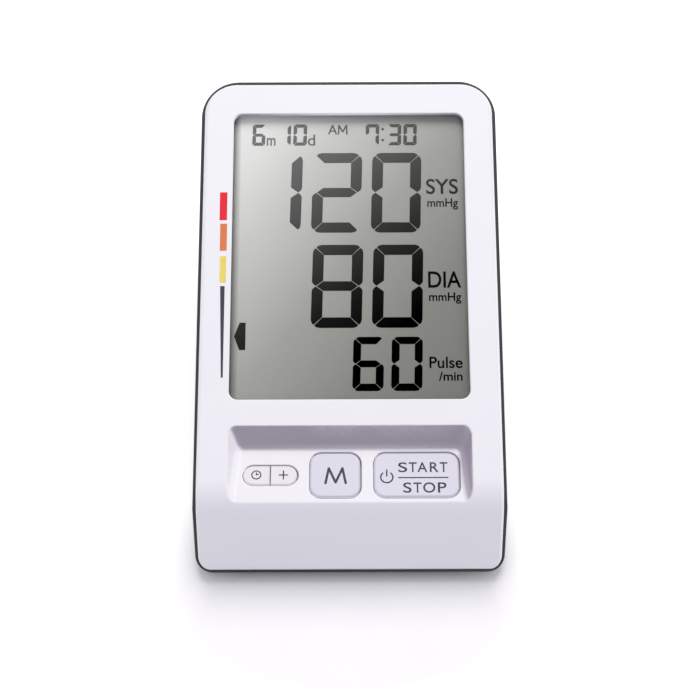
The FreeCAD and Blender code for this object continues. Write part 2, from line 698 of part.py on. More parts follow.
def key_post_places():
    """Places of the posts under the well, on its floor."""
    rows = (KEY_ROW - KEY_POST_PITCH / 2, KEY_ROW + KEY_POST_PITCH / 2)
    return [(side * KEY_POST_X, row) for side in (-1, 1) for row in rows]


def board_boss_places():
    """Places of the main board's bosses, on the panel."""
    rows = (BOARD_FROM_BEND + BOARD_BOSS_LOW_INSET, BOARD_END - BOARD_BOSS_HIGH_INSET)
    return [(side * BOARD_BOSS_X, row) for side in (-1, 1) for row in rows]


def case_boss_places():
    """Places in plan of the case screws, with the height where post and boss meet."""
    rows = ((bend.y + FRONT_BOSS_FROM_BEND, FRONT_POST_TOP), (top_edge.y - REAR_BOSS_FROM_TOP, REAR_POST_TOP))
    return [(side * CASE_BOSS_X, y, top) for side in (-1, 1) for y, top in rows]


def screw(kind, head_seat, direction):
    """Pan-head screw whose head sits on a point, with its shank along a direction."""
    shank_radius, shank_length, head_radius, head_height = kind
    head_edge = head_height / 3
    points = [
        (-head_height, 0),
        (-head_height, head_radius - head_edge),
        (-head_height + head_edge, head_radius),
        (0, head_radius),
        (0, shank_radius),
        (shank_length, shank_radius),
        (shank_length, 0),
    ]
    return turned(points, head_seat, direction)


def screw_hole(kind, seat, direction, clearance, length):
    """Hole for a screw's shank from a seat along a direction."""
    return rod(kind[0] + clearance, seat, seat + direction * length)


def upper_case():
    """White shell: panel, bend and chin with a window, the scooped button well, and bosses inside."""
    block = seam_slab(0, (0, CHIN_LENGTH + PANEL_LENGTH)).common(skin_prism(0))
    to_seam = SEAM.inverse()

    def on_brim(edge):
        first, last = edge.ParameterRange
        ends = [to_seam.multVec(edge.valueAt(first)), to_seam.multVec(edge.valueAt(last))]
        middle = to_seam.multVec(edge.valueAt((first + last) / 2))
        upright = (ends[0] - ends[1]).cross(Z_AXIS).Length < TOUCH
        inside = abs(middle.x) < TOUCH and EDGE_RADIUS < middle.y < SEAM_LENGTH - EDGE_RADIUS
        return middle.z > TOUCH and not upright and not inside

    shell = block.makeFillet(EDGE_RADIUS, [edge for edge in block.Edges if on_brim(edge)])
    hollow = seam_slab(WALL, (-CUT_MARGIN, CHIN_LENGTH + PANEL_LENGTH)).common(skin_prism(WALL))
    hollow = hollow.cut(well_scoop(WALL))
    shell = shell.cut(hollow).cut(well_scoop(0))
    skin = skin_prism(0)
    scoop = well_scoop(0)

    def on_well_edge(point):
        vertex = Part.Vertex(point)
        gaps = [solid.Shells[0].distToShape(vertex)[0] for solid in (skin, scoop)]
        return max(gaps) < TOUCH

    shell = shell.makeFillet(WELL_EDGE_RADIUS, edges_where(shell, on_well_edge))

    window_x = centred(0, WINDOW_WIDTH)
    window_y = (WINDOW_FROM_BEND, WINDOW_END)
    window = rounded_block(window_x, window_y, (-WALL - CUT_MARGIN, CUT_MARGIN), WINDOW_CORNER_RADIUS)
    pane_seat = rounded_block(
        centred(0, WINDOW_WIDTH + 2 * (PANE_OVERLAP + PANE_GAP)),
        (WINDOW_FROM_BEND - PANE_OVERLAP - PANE_GAP, WINDOW_END + PANE_OVERLAP + PANE_GAP),
        (-WALL - CUT_MARGIN, PANE_FACE),
        WINDOW_CORNER_RADIUS,
    )
    shell = shell.cut(placed(window.fuse(pane_seat), PANEL))
    to_panel = PANEL.inverse()

    def on_window_edge(point):
        local = to_panel.multVec(point)
        across = abs(local.x) < WINDOW_WIDTH / 2 + TOUCH
        return across and abs(local.z) < TOUCH and local.y > WINDOW_FROM_BEND - TOUCH

    shell = shell.makeFillet(WINDOW_EDGE_RADIUS, edges_where(shell, on_window_edge))

    inside_skin = skin_prism(WALL / 2)
    bosses = []
    pilots = []
    for x, y, seat in case_boss_places():
        foot = V(x, y, seat)
        boss = rod(CASE_BOSS_RADIUS, foot, foot + Z_AXIS * PANEL_LENGTH)
        bosses.append(boss.common(inside_skin))
        depth = CASE_SHANK_LENGTH - POST_SEAT + SCREW_SPARE
        pilots.append(screw_hole(CASE_SCREW, foot, Z_AXIS, SCREW_FIT, depth))
    for x, row in board_boss_places():
        bosses.append(placed(rod(BOARD_BOSS_RADIUS, V(x, row, BOARD_FACE), V(x, row, -WALL / 2)), PANEL))
        pilot = screw_hole(BOARD_SCREW, V(x, row, BOARD_FACE), Z_AXIS, SCREW_FIT, BOARD_SHANK_LENGTH)
        pilots.append(placed(pilot, PANEL))
    for x, row in key_post_places():
        post = placed(rod(KEY_POST_RADIUS, V(x, row, KEY_BOARD_TOP), V(x, row, REACH)), FLOOR)
        bosses.append(post.common(inside_skin).cut(well_scoop(WALL / 2)))
        pilot = screw_hole(BOARD_SCREW, V(x, row, KEY_BOARD_TOP), Z_AXIS, SCREW_FIT, BOARD_SHANK_LENGTH)
        pilots.append(placed(pilot, FLOOR))
    shell = fused([shell] + bosses)

    through = (-WALL - CUT_MARGIN, CUT_MARGIN)
    holes = [placed(key_outline(name, KEY_GAP, through), FLOOR) for name in KEY_HOLES]
    shell = shell.cut(Part.makeCompound(pilots + holes))
    to_floor = FLOOR.inverse()

    def on_hole_edge(point):
        local = to_floor.multVec(point)
        reach = KEY_GAP + TOUCH
        across = SPLIT_KEY_LEFT - reach < local.x < START_KEY_LEFT + START_KEY_WIDTH + reach
        along_row = abs(local.y - KEY_ROW) < LARGE_KEY_LENGTH / 2 + reach
        return across and along_row and abs(local.z) < TOUCH

    return shell.makeFillet(KEY_HOLE_EDGE, edges_where(shell, on_hole_edge))


def base_block():
    """Outer form of the lower shell: upright walls under the seam, with a round bottom edge."""
    face = rounded_outline(
        (-BASE_HALF_WIDTH, BASE_HALF_WIDTH), (BASE_FRONT, BASE_REAR),
        FRONT_CORNER_RADIUS, REAR_CORNER_RADIUS, BASE_BOTTOM,
    )
    block = face.extrude(Z_AXIS * REACH)
    block = block.makeFillet(BASE_EDGE_RADIUS, edges_where(block, lambda p: abs(p.z - BASE_BOTTOM) < TOUCH))
    below_seam = placed(box((-REACH, REACH), (-REACH, REACH), (-REACH, 0)), SEAM)
    return block.common(below_seam)


def rim_bead():
    """Bead that stands proud of both shells all round the seam, and spreads towards the chin."""
    front = V(HALF_WIDTH + RIM_FRONT_SIDE, -RIM_FRONT, 0)
    widest = V(HALF_WIDTH + RIM_WIDEST_SIDE, RIM_WIDEST_PLACE, 0)
    rear = V(HALF_WIDTH + RIM_REAR_SIDE, SEAM_LENGTH + RIM_REAR, 0)
    right = [front, widest, rear]
    left = [V(-place.x, place.y, 0) for place in reversed(right)]
    bead = Part.Face(Part.makePolygon(right + left + right[:1])).extrude(-Z_AXIS * RIM_THICKNESS)
    for place, radius in ((front, RIM_CORNER_RADIUS), (rear, REAR_CORNER_RADIUS + RIM_REAR)):
        uprights = edges_where(bead, lambda p: (V(abs(p.x), p.y, 0) - place).Length < TOUCH)
        bead = bead.makeFillet(radius, uprights)
    bead = placed(bead, SEAM)
    to_seam = SEAM.inverse()

    def on_flat_face(point):
        depth = to_seam.multVec(point).z
        return abs(depth) < TOUCH or abs(depth + RIM_THICKNESS) < TOUCH

    return bead.makeFillet(RIM_EDGE_RADIUS, edges_where(bead, on_flat_face))


def door_spaces(grow):
    """Plate, tongue and lip spaces of the battery door, grown by an offset."""
    rear = (INNER_REAR - grow, BASE_REAR + CUT_MARGIN)
    plate = box(
        (-DOOR_HALF_WIDTH - grow, DOOR_HALF_WIDTH + grow),
        (DOOR_FRONT - grow, rear[1]),
        (BASE_BOTTOM - grow, DOOR_TOP + grow),
    )
    tongues = box(
        (-TONGUE_HALF_WIDTH - grow, TONGUE_HALF_WIDTH + grow),
        (DOOR_FRONT - grow, rear[1] - CUT_MARGIN - BASE_WALL / 2),
        (DOOR_TOP - TONGUE_THICKNESS - grow, DOOR_TOP + grow),
    )
    lip = box(
        (-LIP_HALF_WIDTH - grow, LIP_HALF_WIDTH + grow), rear, (BASE_BOTTOM - grow, DOOR_LIP_TOP + grow),
    )
    return plate, tongues, lip


def battery_door():
    """Sliding cover: bottom plate with side tongues, and a ribbed lip up the rear wall."""
    plate, tongues, lip = door_spaces(0)
    outer = base_block()
    grips = []
    for index in range(GRIP_COUNT):
        z = GRIP_START + index * GRIP_PITCH
        y = BASE_REAR - GRIP_RADIUS / 2
        grips.append(rod(GRIP_RADIUS, V(-GRIP_LENGTH / 2, y, z), V(GRIP_LENGTH / 2, y, z)))
    return fused([outer.common(plate), tongues, outer.common(lip)] + grips)


def foot_places():
    """Names and places in plan of the feet."""
    front = BASE_FRONT + FRONT_FOOT_INSET
    rear = BASE_REAR - REAR_FOOT_INSET
    return {
        "foot_front_left": (-FRONT_FOOT_X, front),
        "foot_front_right": (FRONT_FOOT_X, front),
        "foot_rear_left": (-REAR_FOOT_X, rear),
        "foot_rear_right": (REAR_FOOT_X, rear),
    }


def strap_ear_places():
    """Places in plan of the strap's two screws."""
    offset = SLEEVE_RADIUS + STRAP_THICKNESS + STRAP_EAR / 2
    return [(SLEEVE_X, PUMP_Y - offset), (SLEEVE_X, PUMP_Y + offset)]


def lower_case():
    """Dark shell: walls and rim, battery compartment, screw posts, pump cradle and side openings."""
    cavity_face = rounded_outline(
        (-INNER_HALF_WIDTH, INNER_HALF_WIDTH), (BASE_FRONT + BASE_WALL, INNER_REAR),
        FRONT_CORNER_RADIUS - BASE_WALL, REAR_CORNER_RADIUS - BASE_WALL, BASE_TOP,
    )
    cavity = cavity_face.extrude(Z_AXIS * REACH)
    outer = base_block()
    shell = outer.fuse(rim_bead()).cut(cavity)

    features = []
    for side in (-1, 1):
        outside = HALF_WIDTH - WALL - LIP_GAP
        reach = sorted((side * outside, side * (outside - LIP_THICKNESS)))
        lip = box(reach, (LIP_START, SEAM_LENGTH - LIP_END_INSET), (-LIP_DEPTH, LIP_HEIGHT))
        features.append(placed(lip, SEAM))

    box_walls = box(
        (-BOX_HALF_WIDTH - BOX_WALL, BOX_HALF_WIDTH + BOX_WALL),
        (BOX_FRONT - BOX_WALL, BOX_REAR + BOX_WALL),
        (BASE_BOTTOM, BOX_TOP),
    )
    rails = box(
        (-RAIL_HALF_WIDTH, RAIL_HALF_WIDTH),
        (DOOR_FRONT - DOOR_GAP - BOX_WALL, INNER_REAR + BASE_WALL / 2),
        (BASE_BOTTOM, DOOR_TOP + DOOR_GAP + RAIL_TOP),
    )
    features += [box_walls, rails]

    post_radius = CASE_SCREW[2] + SCREW_CLEARANCE + BOSS_WALL
    posts = [rod(post_radius, V(x, y, BASE_BOTTOM), V(x, y, top)) for x, y, top in case_boss_places()]
    features += [post.common(outer) for post in posts]

    for x, y in strap_ear_places():
        features.append(rod(STRAP_SCREW[0] + BOSS_WALL, V(x, y, BASE_BOTTOM), V(x, y, PUMP_Z)))
    for x in (SLEEVE_X - CRADLE_PITCH / 2, SLEEVE_X + CRADLE_PITCH / 2):
        rib_height = (BASE_BOTTOM, PUMP_Z - CRADLE_DROP)
        rib = box(centred(x, CRADLE_RIB), centred(PUMP_Y, 2 * CRADLE_HALF_WIDTH), rib_height)
        seat_ends = [V(x + side * CRADLE_RIB, PUMP_Y, PUMP_Z) for side in (-1, 1)]
        seat = rod(SLEEVE_RADIUS + CRADLE_GAP, *seat_ends)
        features.append(rib.cut(seat))
    inlet_bottom = INLET_Z - INLET_BODY_HEIGHT / 2
    features.append(box(
        (INNER_HALF_WIDTH - INLET_BODY_LENGTH, BASE_HALF_WIDTH - BASE_WALL / 2),
        centred(INLET_Y, INLET_BODY_WIDTH),
        (inlet_bottom - INLET_SHELF, inlet_bottom),
    ))
    shell = fused([shell] + features)

    below = BASE_BOTTOM - CUT_MARGIN
    cuts = [box((-BOX_HALF_WIDTH, BOX_HALF_WIDTH), (BOX_FRONT, BOX_REAR), (below, BOX_CEILING))]
    cuts += door_spaces(DOOR_GAP)
    for x, y, top in case_boss_places():
        head_seat = top - POST_SEAT
        cuts.append(rod(CASE_HEAD_RADIUS + SCREW_CLEARANCE, V(x, y, below), V(x, y, head_seat)))
        cuts.append(rod(CASE_SHANK_RADIUS + SCREW_CLEARANCE, V(x, y, head_seat), V(x, y, top + CUT_MARGIN)))
    for x, y in strap_ear_places():
        depth = STRAP_SHANK_LENGTH + SCREW_SPARE
        cuts.append(screw_hole(STRAP_SCREW, V(x, y, PUMP_Z), -Z_AXIS, SCREW_FIT, depth))
    for x, y in foot_places().values():
        cuts.append(rod(FOOT_RADIUS + FOOT_GAP, V(x, y, below), V(x, y, BASE_BOTTOM + FOOT_SINK)))
    socket_start = V(-INNER_HALF_WIDTH + CUT_MARGIN, SOCKET_Y, HOSE_Z)
    cuts.append(rod(SOCKET_RADIUS + SIDE_FIT, V(-REACH, SOCKET_Y, HOSE_Z), socket_start))
    inlet_start = V(INNER_HALF_WIDTH - CUT_MARGIN, INLET_Y, INLET_Z)
    cuts.append(rod(INLET_NOSE_RADIUS + SIDE_FIT, inlet_start, V(REACH, INLET_Y, INLET_Z)))
    shell = shell.cut(Part.makeCompound(cuts))

    dividers = []
    for index in range(1, CELL_COUNT):
        x = -BOX_HALF_WIDTH + index * CELL_PITCH
        dividers.append(box(
            centred(x, DIVIDER_WIDTH), (BOX_FRONT + PLATE_SPACE, BOX_REAR - PLATE_SPACE),
            (BOX_CEILING - DIVIDER_HEIGHT, BOX_TOP),
        ))
    return fused([shell] + dividers)


def display_window():
    """Clear pane behind the panel's opening."""
    face = rounded_block(
        centred(0, WINDOW_WIDTH + 2 * PANE_OVERLAP),
        (WINDOW_FROM_BEND - PANE_OVERLAP, WINDOW_END + PANE_OVERLAP),
        (PANE_BACK, PANE_FACE),
        WINDOW_CORNER_RADIUS,
    )
    return placed(face, PANEL)


def lcd_panel():
    """Two bonded glasses, the front one longer at the lower end to bare its contacts."""
    across = centred(0, WINDOW_WIDTH + 2 * LCD_OVERLAP)
    low = WINDOW_FROM_BEND - LCD_OVERLAP
    high = WINDOW_END + LCD_OVERLAP
    front = box(across, (low, high), (LCD_FACE - LCD_FRONT_GLASS, LCD_FACE))
    rear = box(across, (low + LCD_LEDGE, high), (LCD_BACK, LCD_FACE - LCD_FRONT_GLASS))
    return placed(fused([front, rear]), PANEL)


def contact_strip():
    """Elastomer strip from the display's bare ledge to the board."""
    middle = WINDOW_FROM_BEND - LCD_OVERLAP + LCD_LEDGE / 2
    z_range = (BOARD_FACE, LCD_FACE - LCD_FRONT_GLASS)
    strip = box(centred(0, WINDOW_WIDTH - 2 * LCD_OVERLAP), centred(middle, STRIP_WIDTH), z_range)
    return placed(strip, PANEL)


def lcd_frame():
    """Open frame that carries the display on the board and presses the pane into its seat."""
    grow = LCD_OVERLAP + LCD_FRAME_GAP
    low = WINDOW_FROM_BEND - grow
    high = WINDOW_END + grow
    across = WINDOW_WIDTH + 2 * grow
    outer = box(
        centred(0, across + 2 * LCD_FRAME_WALL),
        (low - LCD_FRAME_WALL, high + LCD_FRAME_WALL),
        (BOARD_FACE, PANE_BACK),
    )
    tray = box(centred(0, across), (low, high), (LCD_BACK, PANE_BACK + CUT_MARGIN))
    middle = box(
        centred(0, across - 2 * LCD_FRAME_LEDGE),
        (low + LCD_LEDGE + LCD_FRAME_LEDGE, high - LCD_FRAME_LEDGE),
        (BOARD_FACE - CUT_MARGIN, LCD_BACK + CUT_MARGIN),
    )
    strip_slot = box(
        centred(0, WINDOW_WIDTH - 2 * LCD_OVERLAP + 2 * LCD_FRAME_GAP),
        (low + LCD_FRAME_GAP, low + LCD_LEDGE),
        (BOARD_FACE - CUT_MARGIN, LCD_BACK + CUT_MARGIN),
    )
    return placed(outer.cut(Part.makeCompound([tray, middle, strip_slot])), PANEL)


def main_board():
    """Circuit board under the display, screwed to four bosses."""
    board = rounded_block(
        centred(0, BOARD_WIDTH), (BOARD_FROM_BEND, BOARD_END), (BOARD_BACK, BOARD_FACE), BOARD_CORNER_RADIUS
    )
    holes = [
        rod(BOARD_SHANK_RADIUS + SCREW_CLEARANCE, V(x, row, BOARD_BACK - CUT_MARGIN), V(x, row, CUT_MARGIN))
        for x, row in board_boss_places()
    ]
    return placed(board.cut(Part.makeCompound(holes)), PANEL)


def main_chip():
    """Flat processor package under the board."""
    chip = rounded_block(
        centred(CHIP_X, CHIP_SIZE),
        centred(CHIP_FROM_BEND, CHIP_SIZE),
        (BOARD_BACK - CHIP_HEIGHT, BOARD_BACK),
        CHIP_EDGE,
    )
    return placed(chip, PANEL)


def buzzer():
    """Round sounder under the board, with its sound port."""
    middle = V(BUZZER_X, BUZZER_FROM_BEND, BOARD_BACK)
    bottom = middle - Z_AXIS * BUZZER_HEIGHT
    port = rod(BUZZER_PORT_RADIUS, bottom, middle - Z_AXIS * (BUZZER_HEIGHT / 2))
    return placed(rod(BUZZER_RADIUS, bottom, middle).cut(port), PANEL)


def pressure_sensor():
    """Sensor under the board, whose port looks down at the manifold."""
    x, y = port_place.x, port_place.y
    bottom = BOARD_BACK - SENSOR_HEIGHT
    body = rounded_block(centred(x, SENSOR_SIZE), centred(y, SENSOR_SIZE), (bottom, BOARD_BACK), CHIP_EDGE)
    tip = V(x, y, bottom - BARB_LENGTH)
    port = rod(BARB_RADIUS, tip, V(x, y, BOARD_BACK))
    bore = rod(AIR_BORE_RADIUS, tip, V(x, y, bottom))
    return placed(fused([body, port]).cut(bore), PANEL)


def key_board():
    """Small board under the well that carries the four tact switches."""
    board = rounded_block(
        centred(0, KEY_BOARD_WIDTH), centred(KEY_ROW, KEY_BOARD_LENGTH),
        (KEY_BOARD_BOTTOM, KEY_BOARD_TOP), BOARD_CORNER_RADIUS,
    )
    holes = [
        rod(BOARD_SHANK_RADIUS + SCREW_CLEARANCE, V(x, row, KEY_BOARD_BOTTOM - CUT_MARGIN), V(x, row, 0))
        for x, row in key_post_places()
    ]
    return placed(board.cut(Part.makeCompound(holes)), FLOOR)


def ribbon_cable():
    """Flat ribbon that hangs between the underside of the main board and that of the key board."""
    half = RIBBON_THICKNESS / 2
    key_end = KEY_ROW + KEY_BOARD_LENGTH / 2 - RIBBON_END
    points = [
        PANEL.multVec(V(0, BOARD_FROM_BEND + RIBBON_END, BOARD_BACK)),
        PANEL.multVec(V(0, BOARD_FROM_BEND + RIBBON_END, BOARD_BACK - RIBBON_DROP)),
        FLOOR.multVec(V(0, key_end, KEY_BOARD_BOTTOM - RIBBON_DROP)),
        FLOOR.multVec(V(0, key_end, KEY_BOARD_BOTTOM)),
    ]
    return bent_strip(points, RIBBON_RADIUS, 2 * half, RIBBON_WIDTH, 0)


def battery_cell(index):
    """AA cell; every second one is turned end for end."""
    x = -BOX_HALF_WIDTH + (index + 0.5) * CELL_PITCH
    points = [
        (0, 0),
        (0, CELL_RADIUS - CELL_EDGE),
        (CELL_EDGE, CELL_RADIUS),
        (CELL_LENGTH - CELL_EDGE, CELL_RADIUS),
        (CELL_LENGTH, CELL_RADIUS - CELL_EDGE),
        (CELL_LENGTH, CELL_NUB_RADIUS),
        (CELL_LENGTH + CELL_NUB_LENGTH, CELL_NUB_RADIUS),
        (CELL_LENGTH + CELL_NUB_LENGTH, 0),
    ]
    if index % 2 == 0:
        return turned(points, V(x, BOX_FRONT + SPRING_SPACE, CELL_Z), Y_AXIS)
    return turned(points, V(x, BOX_REAR - SPRING_SPACE, CELL_Z), -Y_AXIS)


def contact_plate(cells, at_front):
    """Sheet contact on an end wall: a leaf for each flat cell end and a dimple for each nub."""
    inward = 1 if at_front else -1
    wall = BOX_FRONT if at_front else BOX_REAR
    places = [-BOX_HALF_WIDTH + (cell + 0.5) * CELL_PITCH for cell in cells]
    x_range = (min(places) - CONTACT_WIDTH / 2, max(places) + CONTACT_WIDTH / 2)
    y_range = sorted((wall, wall + inward * CONTACT_THICKNESS))
    pieces = [box(x_range, y_range, centred(CELL_Z, CONTACT_HEIGHT))]
    for cell, x in zip(cells, places):
        flat_end = (cell % 2 == 0) == at_front
        if flat_end:
            root = wall + inward * CONTACT_THICKNESS / 2
            tip = wall + inward * LEAF_REACH
            points = [
                V(0, root, CELL_Z - CONTACT_HEIGHT / 2 + CONTACT_THICKNESS),
                V(0, tip, CELL_Z),
                V(0, root + inward * CONTACT_THICKNESS * 2, CELL_Z + CONTACT_HEIGHT / 3),
            ]
            pieces.append(bent_strip(points, CONTACT_THICKNESS * 2, CONTACT_THICKNESS, LEAF_WIDTH, x))
        else:
            reach = inward * (PLATE_SPACE - SIDE_FIT)
            pieces.append(rod(DIMPLE_RADIUS, V(x, wall, CELL_Z), V(x, wall + reach, CELL_Z)))
    return fused(pieces)


def pump_motor():
    """Round motor can with a bearing boss at its rear."""
    points = [
        (-MOTOR_BOSS_LENGTH, 0),
        (-MOTOR_BOSS_LENGTH, MOTOR_BOSS_RADIUS),
        (0, MOTOR_BOSS_RADIUS),
        (0, MOTOR_RADIUS - MOTOR_EDGE),
        (MOTOR_EDGE, MOTOR_RADIUS),
        (MOTOR_LENGTH, MOTOR_RADIUS),
        (MOTOR_LENGTH, 0),
    ]
    return turned(points, V(PUMP_JOIN_X - MOTOR_LENGTH, PUMP_Y, PUMP_Z), X_AXIS)


def pump_head():
    """Stacked diaphragm head on the motor, with its air outlet at the hose level."""
    step = HEAD_LENGTH / 3
    points = [
        (0, 0),
        (0, HEAD_RADIUS),
        (step, HEAD_RADIUS),
        (step, HEAD_RADIUS - HEAD_STEP),
        (2 * step, HEAD_RADIUS - HEAD_STEP),
        (2 * step, HEAD_RADIUS),
        (HEAD_LENGTH, HEAD_RADIUS),
        (HEAD_LENGTH, HEAD_CAP_RADIUS),
        (HEAD_LENGTH + HEAD_CAP_LENGTH, HEAD_CAP_RADIUS),
        (HEAD_LENGTH + HEAD_CAP_LENGTH, 0),
    ]
    body = turned(points, V(PUMP_JOIN_X, PUMP_Y, PUMP_Z), X_AXIS)
    outlet_start = V(HEAD_FACE - HEAD_CAP_LENGTH, PUMP_Y, HOSE_Z)
    outlet_end = V(HEAD_FACE + BARB_LENGTH, PUMP_Y, HOSE_Z)
    bore = rod(AIR_BORE_RADIUS, V(HEAD_FACE, PUMP_Y, HOSE_Z), outlet_end)
    return fused([body, rod(BARB_RADIUS, outlet_start, outlet_end)]).cut(bore)


def pump_sleeve():
    """Rubber sleeve that quiets the motor in its cradle."""
    start = V(SLEEVE_X - SLEEVE_LENGTH / 2, PUMP_Y, PUMP_Z)
    end = start + X_AXIS * SLEEVE_LENGTH
    return rod(SLEEVE_RADIUS, start, end).cut(rod(MOTOR_RADIUS, start, end))


def pump_strap():
    """Bent sheet strap over the sleeve, with an ear on each side."""
    x_range = centred(SLEEVE_X, STRAP_WIDTH)
    start = V(x_range[0], PUMP_Y, PUMP_Z)
    end = V(x_range[1], PUMP_Y, PUMP_Z)
    outside = SLEEVE_RADIUS + STRAP_THICKNESS
    upper_half = box(x_range, centred(PUMP_Y, 2 * outside), (PUMP_Z, PUMP_Z + outside))
    arch = rod(outside, start, end).common(upper_half)
    ears = box(x_range, centred(PUMP_Y, 2 * (outside + STRAP_EAR)), (PUMP_Z, PUMP_Z + STRAP_THICKNESS))
    strap = fused([arch, ears]).cut(rod(SLEEVE_RADIUS, start, end))
    holes = [
        rod(STRAP_SCREW[0] + SCREW_CLEARANCE, V(x, y, PUMP_Z - CUT_MARGIN), V(x, y, PUMP_Z + CUT_MARGIN))
        for x, y in strap_ear_places()
    ]
    return strap.cut(Part.makeCompound(holes))


def air_manifold():
    """Moulded block on the battery compartment that joins pump, valve, leak, sensor and cuff."""
    middle = V(MANIFOLD_X, MANIFOLD_Y, HOSE_Z)
    block = rounded_block(
        (MANIFOLD_LEFT, MANIFOLD_RIGHT), (MANIFOLD_NEAR, MANIFOLD_FAR), (BOX_TOP, MANIFOLD_TOP), MANIFOLD_EDGE
    )
    reach = MANIFOLD_SIZE / 2 + BARB_LENGTH
    tilted = out_of(PANEL_SLOPE)
    top = V(MANIFOLD_X, MANIFOLD_Y, MANIFOLD_TOP)
    ends = [middle + axis * reach for axis in (X_AXIS, -X_AXIS, Y_AXIS, -Y_AXIS)]
    ends.append(top + tilted * (SENSOR_HOSE_LIFT + BARB_LENGTH))
    roots = [middle] * 4 + [top - tilted * (MANIFOLD_HEIGHT / 3)]
    barbs = [rod(BARB_RADIUS, root, end) for root, end in zip(roots, ends)]
    bores = [rod(AIR_BORE_RADIUS, root, end) for root, end in zip(roots, ends)]
    return fused([block] + barbs).cut(Part.makeCompound(bores))


def leak_valve():
    """Soft cap with a fine bleed, pushed on the manifold's side barb."""
    start = V(MANIFOLD_RIGHT + HOSE_END_GAP, MANIFOLD_Y, HOSE_Z)
    end = start + X_AXIS * LEAK_VALVE_LENGTH
    pocket_end = V(MANIFOLD_RIGHT + BARB_LENGTH + HOSE_END_GAP, MANIFOLD_Y, HOSE_Z)
    cap = rod(LEAK_VALVE_RADIUS, start, end)
    return cap.cut(rod(HOSE_BORE_RADIUS, start, pocket_end)).cut(rod(AIR_BORE_RADIUS / 2, pocket_end, end))


def exhaust_valve():
    """Solenoid valve: bent yoke, coil and air nozzle, seated on the battery compartment."""
    x_range = centred(VALVE_X, VALVE_LENGTH)
    y_range = centred(MANIFOLD_Y, VALVE_WIDTH)
    z_range = (BOX_TOP, BOX_TOP + VALVE_HEIGHT)
    yoke = box(x_range, y_range, z_range)
    inside = box(
        (x_range[0] + VALVE_PLATE, x_range[1] - VALVE_PLATE),
        (y_range[0] - CUT_MARGIN, y_range[1] + CUT_MARGIN),
        (z_range[0] + VALVE_PLATE, z_range[1] + CUT_MARGIN),
    )
    coil_z = BOX_TOP + VALVE_HEIGHT / 2
    coil = rod(VALVE_COIL_RADIUS, V(x_range[0], MANIFOLD_Y, coil_z), V(x_range[1], MANIFOLD_Y, coil_z))
    tip = V(VALVE_RIGHT + BARB_LENGTH, MANIFOLD_Y, HOSE_Z)
    nozzle = rod(BARB_RADIUS, V(VALVE_X, MANIFOLD_Y, HOSE_Z), tip)
    bore = rod(AIR_BORE_RADIUS, V(VALVE_RIGHT, MANIFOLD_Y, HOSE_Z), tip)
    return fused([yoke.cut(inside), coil, nozzle]).cut(bore)


def hoses():
    """Soft inner tubes between the barbs of the air circuit."""
    manifold_near = V(MANIFOLD_X, MANIFOLD_NEAR - HOSE_END_GAP, HOSE_Z)
    manifold_far = V(MANIFOLD_X, MANIFOLD_FAR + HOSE_END_GAP, HOSE_Z)
    sensor_bottom = V(port_place.x, port_place.y, BOARD_BACK - SENSOR_HEIGHT - HOSE_END_GAP)
    manifold_side = V(MANIFOLD_LEFT - HOSE_END_GAP, MANIFOLD_Y, HOSE_Z)
    pump_face = V(HEAD_FACE + HOSE_END_GAP, PUMP_Y, HOSE_Z)
    valve_face = V(VALVE_RIGHT + HOSE_END_GAP, MANIFOLD_Y, HOSE_Z)
    socket_face = V(SOCKET_INNER_END + HOSE_END_GAP, SOCKET_Y, HOSE_Z)
    return {
        "pump_hose": hose([pump_face, V(MANIFOLD_X, PUMP_Y, HOSE_Z), manifold_near], PUMP_HOSE_BEND),
        "socket_hose": hose([manifold_far, V(MANIFOLD_X, SOCKET_Y, HOSE_Z), socket_face], SOCKET_HOSE_BEND),
        "valve_hose": hose([valve_face, manifold_side], 0),
        "sensor_hose": hose(
            [PANEL.multVec(port_place + Z_AXIS * SENSOR_HOSE_LIFT), PANEL.multVec(sensor_bottom)], 0
        ),
    }


def cuff_socket():
    """Air socket through the left wall: collar outside, flange inside, and a barb for its hose."""
    mouth = -BASE_HALF_WIDTH - SOCKET_COLLAR
    flange = -INNER_HALF_WIDTH + GASKET_THICKNESS
    tip = SOCKET_INNER_END + BARB_LENGTH
    points = [
        (0, 0),
        (0, SOCKET_COLLAR_RADIUS),
        (SOCKET_COLLAR, SOCKET_COLLAR_RADIUS),
        (SOCKET_COLLAR, SOCKET_RADIUS),
        (flange - mouth, SOCKET_RADIUS),
        (flange - mouth, SOCKET_FLANGE_RADIUS),
        (flange + SOCKET_FLANGE - mouth, SOCKET_FLANGE_RADIUS),
        (flange + SOCKET_FLANGE - mouth, SOCKET_RADIUS),
        (SOCKET_INNER_END - mouth, SOCKET_RADIUS),
        (SOCKET_INNER_END - mouth, BARB_RADIUS),
        (tip - mouth, BARB_RADIUS),
        (tip - mouth, 0),
    ]
    start = V(mouth, SOCKET_Y, HOSE_Z)
    body = turned(points, start, X_AXIS)
    bore = rod(SOCKET_BORE_RADIUS, start, start + X_AXIS * (SOCKET_BORE_LENGTH + SOCKET_COLLAR))
    return body.cut(bore).cut(rod(AIR_BORE_RADIUS, start, V(tip, SOCKET_Y, HOSE_Z)))


def socket_gasket():
    """Flat rubber ring between the socket's flange and the wall."""
    start = V(-INNER_HALF_WIDTH, SOCKET_Y, HOSE_Z)
    end = start + X_AXIS * GASKET_THICKNESS
    return rod(SOCKET_FLANGE_RADIUS, start, end).cut(rod(SOCKET_RADIUS + SIDE_FIT, start, end))


